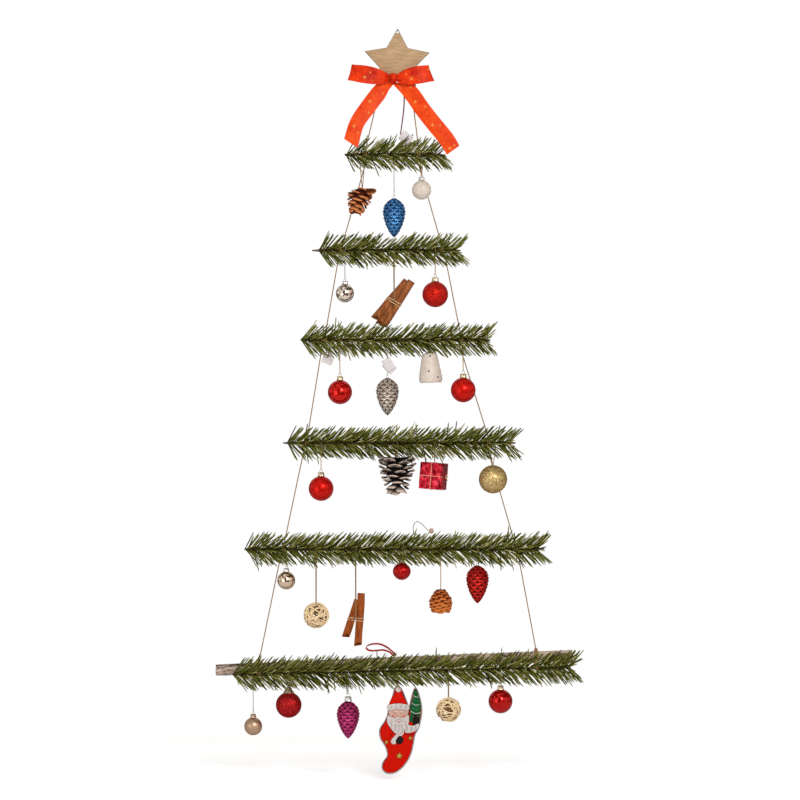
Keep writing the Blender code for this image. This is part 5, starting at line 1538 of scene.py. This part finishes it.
def make_rattan(item):
    """A ball wound of thin rattan strands, the first of them deeper and darker with painted shade for the
    inside of the ball.
    """
    rng = random.Random(SEED + int(item["reach"] * 10000))
    radius = item["width"] / 2
    limit = radius - RATTAN_STRAND
    shape = Shape()
    for number in range(RATTAN_COUNT):
        inner = number < RATTAN_INNER
        axis = Vector((rng.gauss(0, 1), rng.gauss(0, 1), rng.gauss(0, 1))).normalized()
        away = radius * rng.uniform(-0.62, 0.62)
        shell = limit * (rng.uniform(0.70, 0.82) if inner else rng.uniform(0.90, 1.0))
        size = math.sqrt(max(shell ** 2 - away ** 2, (0.5 * radius) ** 2))
        first = axis.orthogonal().normalized()
        second = axis.cross(first)
        phase = rng.uniform(0, 6.28)
        points = []
        for turn in turns(40):
            wave = axis * (math.sin(3 * turn + phase) * 0.07 * radius)
            point = axis * away + (first * math.cos(turn) + second * math.sin(turn)) * size + wave
            points.append(Vector((0, 0, -radius)) + point.normalized() * min(point.length, limit))
        # Deeper strands are darker: painted shade inside the ball; the outer ones differ in tone at random.
        shade = rng.uniform(0.0, 0.2) if inner else rng.uniform(0.55, 1.0)
        shape.add(*rod(points, RATTAN_STRAND, 6, True, 0.8), shade)
    return [("weave", shape, "rattan_weave", "rattan", None)], -1.0 * MM


BELL_WALL = 1.5 * MM
BELL_DOTS = ((0.05, 0.13), (-0.16, 0.62), (0.66, 0.82), (2.4, 0.30), (3.3, 0.7))
DOT_PROFILE = ((0, 0.8), (0.8, 0.7), (1.35, 0.3), (1.3, -0.5), (0, -0.6))


def make_bell(item):
    """A thin white bell with small dark dots, open below."""
    half, length = item["width"] / 2, item["length"]
    outer = []
    for step in range(1, 27):
        down = (step / 26) ** 1.15
        fall = (down - 0.1) / 0.9
        if fall < 0:
            radius = 0.64 * math.sin(math.pi / 2 * (down / 0.1) ** 0.5)
        else:
            radius = 0.64 + 0.34 * fall + 0.05 * math.sin(math.pi * fall) * fall
        radius -= 0.15 * max(0.0, (down - 0.86) / 0.14) ** 2.4
        outer.append((half * radius, -length * down))
    inner = [(radius - BELL_WALL, min(height, -BELL_WALL))
             for radius, height in outer if radius > 2.2 * BELL_WALL]
    bell = Shape(*lathe([(0, 0)] + outer + inner[::-1] + [(0, inner[0][1])], 56))
    marks = Shape()
    dot = [(radius * MM, height * MM) for radius, height in DOT_PROFILE]
    for turn, down in BELL_DOTS:
        radius, height = min(outer, key=lambda place: abs(place[1] + down * length))
        out = Vector((math.sin(turn), -math.cos(turn), 0))
        spin = out.to_track_quat("Z", "Y").to_matrix().to_4x4()
        place = Matrix.Translation(out * radius + Vector((0, 0, height)))
        marks.join(Shape(*lathe(dot, 12)).move(place @ spin))
    knob = Shape(*rod(circle_points((0, 0, 1.6 * MM), 1.9 * MM, "Y", 18), 0.6 * MM, 8, True))
    return [("shell", bell, "bell", "bell", 50), ("dots", marks, "bell_dot", "bell", None),
            ("knob", knob, "bell", "bell", None)], 2.4 * MM


GIFT_DEPTH = 30 * MM
GIFT_YAW = math.radians(-17)
BAND_PROUD = 0.35 * MM


def foil_box(size):
    """A box with soft edges and crumpled sides."""
    made = bmesh.new()
    bmesh.ops.create_cube(made, size=1)
    bmesh.ops.subdivide_edges(made, edges=made.edges[:], cuts=17, use_grid_fill=True)
    made.verts.index_update()
    verts = []
    for vert in made.verts:
        place = Vector([vert.co[axis] * size[axis] for axis in range(3)])
        edge = sorted(abs(share) for share in vert.co)[1]
        soft = max(0.0, (edge - 0.42) / 0.08)
        crease = noise.noise(place * 190) * 0.55 * MM
        crease += noise.noise(place * 480 + Vector((3, 1, 2))) * 0.3 * MM
        verts.append(place * (1 - 0.022 * soft * soft) + place.normalized() * (crease - 0.35 * MM))
    foil = Shape(verts, [tuple(vert.index for vert in face.verts) for face in made.faces])
    made.free()
    return foil


def make_gift(item):
    """A small box in crinkled foil with a thin gold ribbon each way and a bow at its side."""
    size = Vector((item["width"], GIFT_DEPTH, item["length"]))
    half = size / 2
    bands = Shape()
    for axis in (0, 2):
        verts = []
        for turn in turns(48):
            across, deep = math.cos(turn), math.sin(turn)
            biggest = max(abs(across), abs(deep))
            point = Vector((0, deep / biggest * (half[1] + BAND_PROUD), 0))
            point[2 - axis] = across / biggest * (half[2 - axis] + BAND_PROUD)
            for way, lift in ((-1, 1.0), (1, 1.0), (1, 0.965), (-1, 0.965)):
                place = point * lift
                place[axis] = way * 0.45 * MM
                verts.append(place)
        bands.add(verts, tube_faces(48, 4, True))
    for way in (-1, 1):
        loop = []
        for step in range(13):
            bulge, swing = math.sin(math.pi * step / 12), math.cos(math.pi * step / 12)
            loop.append(Vector((half.x + 0.8 * MM + 3.0 * MM * bulge, -1.0 * MM + 2.2 * MM * swing,
                                way * (0.6 * MM + 5.2 * MM * bulge))))
        bands.add(*rod(smooth_path(loop, 2), 1.0 * MM, 6, flat=0.3))
    place = Matrix.Translation((0, 0, -half.z)) @ Matrix.Rotation(GIFT_YAW, 4, "Z")
    return [("foil", foil_box(size).move(place), "foil", "foil", 30),
            ("bands", bands.move(place), "foil_band", "gold", 40)], 0.6 * MM


QUILL_RADIUS = 6.0 * MM
QUILL_SHEET = 1.2 * MM
QUILL_GAP = 0.8 * MM
QUILL_CUT = 6.0 * MM
QUILL_TURNS = 1.62
CINNAMON_BUILDS = {
    "cinnamon_bundle": {"lengths": (0.93, 1.0), "leans": (7, -1), "nods": (-9, 5), "look": "cinnamon",
                        "third": 0.94},
    "cinnamon_pair": {"lengths": (0.74, 1.0), "leans": (12, -3), "nods": (-10, -3), "look": "cinnamon_pale",
                      "third": None},
}


def quill(length, rng, way):
    """One curled stick of bark: a thin sheet rolled inwards from both edges, upright about the origin."""
    stations, curl_steps, seed = 26, 46, rng.uniform(0, 100)
    verts = []
    for station in range(stations + 1):
        height = (station / stations - 0.5) * length
        drift = noise.noise(Vector((seed, height * 28, 0))) * 0.7 * MM
        size = QUILL_RADIUS * (1.0 + 0.06 * noise.noise(Vector((seed + 9, height * 35, 1))))
        outer, inner = [], []
        for step in range(curl_steps + 1):
            share = step / curl_steps
            turn = (share - 0.5) * 2 * math.pi * QUILL_TURNS + way * 0.6
            roll = max(0.0, abs(2 * share - 1) - 0.5) / 0.5
            reach = size * (1 - 0.6 * roll ** 1.3)
            grain = Vector((math.cos(turn) * 3, math.sin(turn) * 3 + seed, height * 60))
            bark = noise.noise(grain) * 0.22 * MM
            hug = Vector((0, math.copysign(1, 0.5 - share) * size * 0.28 * roll, 0))
            hug = hug @ Matrix.Rotation(way * 0.6, 3, "Z")
            out = Vector((math.cos(turn), math.sin(turn), 0))
            centre = Vector((drift, 0, height)) + hug
            outer.append(out * (reach + bark) + centre)
            inner.append(out * (reach - QUILL_SHEET) + centre)
        ring = outer + inner[::-1]
        if station < 4:
            cut = QUILL_CUT * (1 - station / 4) / QUILL_RADIUS
            ring = [point + Vector((0, 0, cut * max(0.0, -point.y) + cut * 0.25 * point.x)) for point in ring]
        verts += ring
    count = 2 * (curl_steps + 1)
    faces = tube_faces(stations + 1, count, capped=False)
    for base in (0, stations * count):
        for step in range(curl_steps):
            faces.append((base + step, base + step + 1, base + count - 2 - step, base + count - 1 - step))
    return Shape(verts, faces)


def make_cinnamon(item):
    """Quills side by side, tied with twine; the thread is held at the front of the tie."""
    build = CINNAMON_BUILDS[item["name"]]
    rng = random.Random(SEED + int(item["reach"] * 10000))
    behind, pitch = QUILL_RADIUS + 0.9 * MM, 2 * QUILL_RADIUS + QUILL_GAP
    bark, ties = Shape(), Shape()
    for way, length, lean, nod in zip((-1, 1), build["lengths"], build["leans"], build["nods"]):
        spin = Matrix.Rotation(math.radians(lean), 4, "Y") @ Matrix.Rotation(math.radians(nod), 4, "X")
        stick = quill(item["length"] * length, rng, way)
        bark.join(stick.move(Matrix.Translation((pitch * way / 2, behind, 0)) @ spin))
    if build["third"]:
        stick = quill(item["length"] * build["third"], rng, 1)
        lower = Vector((0, behind + 1.5 * MM, -item["length"] * (1 - build["third"]) * 0.5))
        bark.join(stick.move(Matrix.Translation(lower) @ Matrix.Diagonal((1.0, 0.7, 1.0, 1.0))))
    reach = pitch / 2 + QUILL_RADIUS
    for number in range(2):
        points = []
        for turn in turns(28):
            across = math.copysign(abs(math.cos(turn)) ** 0.62, math.cos(turn)) * (reach + 0.5 * MM)
            deep = math.copysign(abs(math.sin(turn)) ** 0.8, math.sin(turn)) * (QUILL_RADIUS + 0.5 * MM)
            height = (number - 0.5) * 2.6 * MM + 1.1 * MM * math.sin(turn + 2 * number)
            points.append(Vector((across, behind + deep, height)))
        twisted(ties, points, 0.8 * MM, closed=True, shade=0.6)
    return [("bark", bark, build["look"], "cinnamon", 45), ("tie", ties, "rattan", "twine", None)], 0.6 * MM


# Painted wooden figure

FIGURE_FRONT = -2.0 * MM
# The board's outline: shares of its width and of its height, from its left and from its top.
FIGURE_SHARES = (
    (0.44, 0.00), (0.52, 0.03), (0.60, 0.12), (0.68, 0.24), (0.69, 0.36), (0.70, 0.40),
    (0.72, 0.24), (0.86, 0.02), (1.00, 0.24), (0.95, 0.44), (0.84, 0.56), (0.80, 0.66),
    (0.74, 0.78), (0.60, 0.90), (0.40, 0.985), (0.20, 1.00), (0.08, 0.95), (0.10, 0.88),
    (0.20, 0.80), (0.16, 0.70), (0.04, 0.60), (0.02, 0.50), (0.12, 0.42), (0.20, 0.34),
    (0.24, 0.22), (0.32, 0.12), (0.37, 0.03),
)
FIGURE_HANG_SHARE = 0.44
# Profile of a raised ball or dot: radius and height.
FIGURE_DOME = ((0, 1.0), (0.35, 0.93), (0.66, 0.74), (0.88, 0.44), (1.0, 0.0), (1.0, -0.6), (0, -0.6))
# Painted layers: lift, then outline in millimetres across and up from where the figure hangs.
FIGURE_LAYERS = (
    ("paint_green", 0.1, ((28.2, -3.8), (32.0, -10), (35.4, -20), (37.2, -31), (36.6, -42), (34.6, -55),
                          (26, -59), (18.8, -55), (19.4, -44), (19.0, -36), (20.2, -30), (24.0, -16))),
    ("paint_green", 0.3, ((28.3, -4.5), (31.5, -12), (30.6, -14), (35, -24), (33.4, -26), (37, -38),
                          (34.5, -40), (35.5, -52), (26, -58), (18.6, -54), (21, -42), (19.4, -38),
                          (22.6, -27), (21.6, -24), (25, -14), (24.4, -11))),
    ("paint_black", 0.7, ((24, -46.5), (29, -44.5), (34, -48), (34.5, -60), (25, -61.5))),
    ("paint_white", 0.9, ((11, -59.5), (24, -62), (33, -58.5), (33.6, -66), (25, -72.5), (12, -73.5))),
    ("paint_white", 0.6, ((6.5, -66), (10.5, -73), (3, -83), (-5.5, -92.5), (-11.5, -87), (-4, -77))),
    ("paint_black", 1.1, ((2.5, -78.5), (7, -80.5), (9.2, -85), (6, -91), (0, -91.5), (-3.5, -86.5))),
    ("paint_white", 1.3, ((-16, -45), (-12, -47), (0, -50.5), (13, -47), (17.3, -45), (18.4, -55),
                          (13.5, -66), (7, -73), (1, -76.5), (-5.5, -73.5), (-12, -66), (-17.5, -56))),
    ("paint_skin", 1.0, ((-13.2, -36), (15, -36), (16.4, -44), (13.8, -50.5), (8, -54), (1.2, -55.4),
                         (-5.6, -54), (-11.5, -50.5), (-14.2, -44))),
    ("paint_red", 1.4, ((-14.3, -30.5), (-10.5, -19), (-4.5, -10.5), (1, -7.6), (6, -10.5), (11.5, -19.5),
                        (15.4, -30.5), (8, -34), (-7, -34))),
    ("paint_white", 1.8, ((-16.2, -29.5), (-8, -27.2), (1, -26.4), (10, -27.2), (18, -29.5), (18.6, -35),
                          (15.6, -39), (8, -37), (0.8, -36.2), (-6.6, -37), (-13.8, -39), (-17, -35))),
)
# Raised balls and dots: centre, radius and lift.
FIGURE_BALLS = (
    ("paint_white", (0.8, -4.4), 4.5, 1.9), ("paint_skin", (1.2, -46.6), 2.7, 2.2),
    ("paint_cheek", (-7.6, -47.0), 2.3, 1.35), ("paint_cheek", (10.0, -47.0), 2.3, 1.35),
    ("paint_black", (-3.8, -42.6), 0.75, 1.5), ("paint_black", (6.2, -42.6), 0.75, 1.5),
)
LINE = 0.28
# Strokes of one paint: half width, lift and the points of each stroke.
FIGURE_STROKES = (
    ("paint_white", 0.9, 1.6, ((-6.6, -40.3), (-4.2, -39.3), (-1.8, -40.0)),
     ((4.2, -40.0), (6.6, -39.3), (9.0, -40.3))),
    ("paint_white", 1.7, 2.3, ((-9.5, -53.4), (-5.5, -53.0), (-1.5, -50.6), (1.2, -50.0), (3.9, -50.6),
                               (7.9, -53.0), (11.9, -53.4))),
    ("paint_cheek", 0.55, 1.9, ((-1.8, -55.6), (1.2, -56.7), (4.2, -55.6))),
    ("paint_line", LINE, 1.75, ((-11.5, -56), (-9.5, -62), (-10, -64.5)),
     ((-4.8, -60), (-3.6, -66), (-4.8, -70)), ((1.2, -61), (2.2, -67), (1.0, -72)),
     ((7, -60), (6.4, -65), (7.4, -69)),
     ((13.2, -55), (12.4, -60), (13.0, -63))),
    ("paint_line", LINE, 2.25, ((-11, -31), (-9.4, -33.6), (-10.6, -36)),
     ((-3.4, -29), (-2.2, -31.6), (-3.2, -34.4)), ((5, -29), (6, -31.6), (5.0, -34.4)),
     ((12.6, -31), (13.6, -33.6), (12.4, -36))),
    ("paint_line", LINE, 1.35, ((14, -62), (15, -66), (14.2, -71)), ((21, -64), (22, -68), (21.2, -71.6)),
     ((28, -62.6), (29, -66), (28.4, -69))),
    ("paint_white", 0.55, 0.8, ((24.6, -14), (28.5, -16.6), (32.4, -16.4)),
     ((22.6, -26), (28.4, -29.6), (34.4, -28.6)), ((20.6, -39), (28, -43), (36, -41.4))),
    ("paint_black", 0.35, 0.7, ((-12.6, -79.6), (-8.4, -73.6), (-7.6, -66)),
     ((10.6, -76), (18, -76.6), (26.6, -76))),
)
FIGURE_STARS = (((-18.0, -88.6), 4.3), ((20.2, -82.2), 4.6), ((2.4, -110.4), 6.3))
FIGURE_DOTS = ((26.4, -21.4), (31.6, -22.6), (24.8, -34.6), (30.2, -36.4), (34.2, -34.0), (25.0, -48.0),
               (31.6, -47.6))


def figure_plate(outline, lift):
    """One painted layer, standing a little proud of the base."""
    points = [(across * MM, height * MM) for across, height in outline]
    return plate(points, FIGURE_FRONT - lift * MM, lift * MM + 0.6 * MM, 0.42 * MM, edge_slot=1)


def make_figure(item):
    """A flat cut-out figure whose painted parts stand proud in layers, with dark edges."""
    width, length = item["width"], item["length"]
    edge = [((across - FIGURE_HANG_SHARE) * width, -down * length) for across, down in FIGURE_SHARES]
    edge = round_outline(edge)
    base = plate(edge, FIGURE_FRONT, 4 * MM, 0.7 * MM, edge_slot=1)
    rim = [Vector((across, FIGURE_FRONT - 0.1 * MM, height)) for across, height in shrunk(edge, 0.85 * MM)]
    layers = {"paint_edge": Shape(*rod(rim, 0.55 * MM, 6, True))}
    for paint, lift, points in FIGURE_LAYERS:
        layers.setdefault(paint, Shape()).join(figure_plate(round_outline(points), lift))
    for paint, centre, radius, lift in FIGURE_BALLS:
        verts, faces = lathe(FIGURE_DOME, 24)
        verts = [(x * radius * MM, -z * min(radius * 0.4, 1.2) * MM, y * radius * MM) for x, y, z in verts]
        ball = Shape(verts, faces)
        ball.move(Matrix.Translation((centre[0] * MM, FIGURE_FRONT - lift * MM, centre[1] * MM)))
        layers.setdefault(paint, Shape()).join(ball)
    for paint, half, lift, *strokes in FIGURE_STROKES:
        for points in strokes:
            path = [Vector((across * MM, FIGURE_FRONT - lift * MM, height * MM)) for across, height in points]
            layers.setdefault(paint, Shape()).add(*rod(smooth_path(path, 5), half * MM, 8))
    layers["paint_gold"] = Shape()
    for centre, radius in FIGURE_STARS:
        layers["paint_gold"].join(figure_plate(star_outline(centre, radius, 0.45, 0.2), 0.9))
    for centre in FIGURE_DOTS:
        layers["paint_white"].join(figure_plate(circle_outline(centre, 0.9, 10), 0.75))
    pieces = [("base", base, ("paint_red", "paint_edge"), "painted_wood", None)]
    for paint, shape in layers.items():
        finishes = (paint, paint if paint in ("paint_line", "paint_cheek") else "paint_edge")
        pieces.append((paint.replace("paint_", ""), shape, finishes, "painted_wood", 60))
    return pieces, -0.6 * MM


MAKERS = {"bauble": make_bauble, "ribbed": make_bauble, "cone": make_cone, "pinecone": make_pinecone,
          "rattan": make_rattan, "bell": make_bell, "gift": make_gift, "cinnamon": make_cinnamon,
          "figure": make_figure}


# Hanging threads and the ornaments in place

THREAD_RADIUS = 0.45 * MM


def thread_path(item, held):
    """A closed loop: round the carrier, down both sides and through the ornament's ring."""
    pivot, leans = pivot_of(item), item["leans"]
    carrier = stick_radius(rung_of(item)) if leans else STEM_RADIUS
    thick = THREAD_RADIUS * (1.7 if item["thread"] == "twine" else 1.0)
    radius = carrier + CLEARANCE + thick
    spread = item["spread"] / 2
    points = []
    for step in range(13):
        turn = math.pi * step / 12
        across = spread * 0.55 * (1 - 2 * step / 12)
        points.append(pivot + Vector((across, -radius * math.cos(turn), radius * math.sin(turn))))
    points = points[::-1] if leans else points
    side = math.copysign(1, points[-1].x - pivot.x) * spread
    if leans:
        knees = [pivot + Vector((-side, -1.2 * MM, -LEANING_KNEE)),
                 pivot + Vector((side, -0.2 * MM, -LEANING_KNEE))]
        points = [knees[0].lerp(held, 0.03), pivot + Vector((-side, points[0].y - pivot.y, -radius))] + points
        points += [pivot + Vector((side, points[-1].y - pivot.y, -radius)), knees[1]]
    gap = 0.35 * MM
    points += [held + Vector((math.copysign(gap, side), 0.2 * MM, gap)), held + Vector((0, 0, -gap)),
               held + Vector((-math.copysign(gap, side), -0.2 * MM, gap))]
    return points, thick


def build_thread(item, held):
    """The thread that carries an ornament."""
    points, thick = thread_path(item, held)
    shape = Shape()
    if item["thread"] == "twine":
        twisted(shape, points, thick, closed=True, pitch=3.2 * MM)
    else:
        shape.add(*rod(even_path(points + points[:1], 1.5 * MM)[:-1], thick, 6, True))
    slot = {"gold_thread": "gold", "dark_red_thread": "satin_cord"}.get(item["thread"], "twine")
    shape.make(item["name"] + "_thread", item["thread"], "hang_" + item["name"], slot=slot)


def build_ornament(item):
    """Every piece of an ornament, riding on its own hinge."""
    name = item["name"]
    place = at(hang_point(item), item["tilt"])
    pieces, held = MAKERS[item["kind"]](item)
    for number, (part, shape, finishes, slot, sharp) in enumerate(pieces):
        stands_for = () if number else (name,)
        shape.move(place).make(f"{name}_{part}", finishes, "hang_" + name, stands_for, slot, sharp)
    build_thread(item, place @ Vector((0, 0, held)))


FOLDED_TAG_SHIFT = Vector((1.5, -2.4, 19.5)) * MM
FOLDED_TAG_SIZE = (15 * MM, 20 * MM)
FOLDED_TAG_TURN = -0.55


def build_folded_tag():
    """A small blank folded card on the silver cone's thread."""
    item = next(item for item in ORNAMENTS if item["name"] == "cone_silver")
    centre = hang_point(item) + FOLDED_TAG_SHIFT
    shape = Shape()
    for turn, lift, drop in ((0.0, 1.6 * MM, 0.0), (0.25, -0.4 * MM, 4.5 * MM)):
        card = tag_shape(Vector((0, -lift, 0)), FOLDED_TAG_SIZE, 0.0, hole=False)
        shape.join(card.move(at(centre + Vector((drop * 0.3, 0, -drop)), FOLDED_TAG_TURN - turn)))
    shape.make("cone_tag", "paper", "hang_cone_silver", slot="paper", sharp=40)


# Room, lights and camera

WORLD_STRENGTH = 0.5
FLOOR_GLOW = 0.45
FLOOR_SIDES = (-1.6, 1.6)
FLOOR_DEPTHS = (-0.9, 0.7)
KEY_PLACE = Vector((0.7, -2.3, 0.35))
KEY_POWER = 29.5
FILL_PLACE = Vector((-1.6, -1.8, -0.9))
FILL_POWER = 10.0


def build_floor():
    """A pale floor just under the tree, which keeps the tree's shadow."""
    paint = new_material("floor_paint", (0.95, 0.95, 0.95), 0.9, Emission_Color=(1.0, 1.0, 1.0))
    seen = node(paint, "LightPath").outputs["Is Camera Ray"]
    set_shader(paint, Emission_Strength=math_of(paint, "MULTIPLY", seen, FLOOR_GLOW))
    (left, right), (front, back) = FLOOR_SIDES, FLOOR_DEPTHS
    corners = ((left, front), (right, front), (right, back), (left, back))
    mesh = bpy.data.meshes.new("floor")
    mesh.from_pydata([(*corner, CAD_BOX[0][2] - FLOOR_GAP) for corner in corners], [], [(0, 1, 2, 3)])
    mesh.materials.append(paint)
    add_object("floor", mesh)


def background(world, colour, strength=1.0):
    """A plain glow of the world."""
    return node(world, "Background", Color=colour, Strength=strength).outputs["Background"]


def mix_glows(world, factor, first, second):
    """A mix of two glows."""
    mix = node(world, "MixShader")
    for index, value in enumerate((factor, first, second)):
        put(world, mix.inputs[index], value)
    return mix.outputs["Shader"]


def build_world():
    """White to the eye and through glass, a plain room in mirrors, and a soft even light."""
    world = bpy.data.worlds.new("room")
    bpy.context.scene.world = world
    world.use_nodes = True
    world.node_tree.nodes.clear()
    rays = node(world, "LightPath").outputs
    seen = math_of(world, "MAXIMUM", rays["Is Camera Ray"], rays["Is Transmission Ray"])
    sides = noise_of(world, node(world, "TexCoord").outputs["Generated"], 2.1, 1.0, 0.5)
    tones = ramp_of(world, sides, (0.40, (0.06, 0.045, 0.035)), (0.50, (0.42, 0.38, 0.35)),
                    (0.60, (1.0, 0.98, 0.96)))
    soft = background(world, (1.0, 0.99, 0.98), WORLD_STRENGTH)
    unseen = mix_glows(world, rays["Is Glossy Ray"], soft, background(world, tones))
    node(world, "OutputWorld", Surface=mix_glows(world, seen, unseen, background(world, (1.0, 1.0, 1.0))))


def build_light(name, place, size, power, colour=(1.0, 1.0, 1.0)):
    """A plain square area light aimed at the tree."""
    lamp = bpy.data.lights.new(name, "AREA")
    lamp.size = size
    lamp.energy = power
    lamp.color = colour
    made = add_object(name, lamp)
    made.location = place
    made.rotation_euler = (VIEW_CENTRE - place).to_track_quat("-Z", "Y").to_euler()


def build_camera():
    """A level camera whose frame is as wide as the photograph's, at the tree's depth."""
    camera = bpy.data.cameras.new("view")
    camera.sensor_width = SENSOR
    camera.lens = SENSOR * VIEW_DISTANCE / PHOTO_WIDTH
    made = add_object("view", camera)
    made.location = VIEW_CENTRE + Vector((0, -VIEW_DISTANCE, 0))
    made.rotation_euler = (math.pi / 2, 0, 0)
    bpy.context.scene.camera = made
    bpy.context.scene.view_settings.view_transform = "Standard"


build_star()
for side in SIGNS:
    build_bow_loop(side)
    build_bow_tail(side)
build_bow_knot()
build_tag_string()
for index in range(RUNG_COUNT):
    build_stick(index)
    build_garland(index)
    for side in SIGNS:
        build_twine(index, side)
for item in ORNAMENTS:
    build_ornament(item)
build_folded_tag()
build_paper_tag()
build_satin_loop()
build_string_loop()

build_floor()
build_world()
build_light("key", KEY_PLACE, 0.8, KEY_POWER, (1.0, 0.985, 0.96))
build_light("fill", FILL_PLACE, 1.4, FILL_POWER)
build_camera()
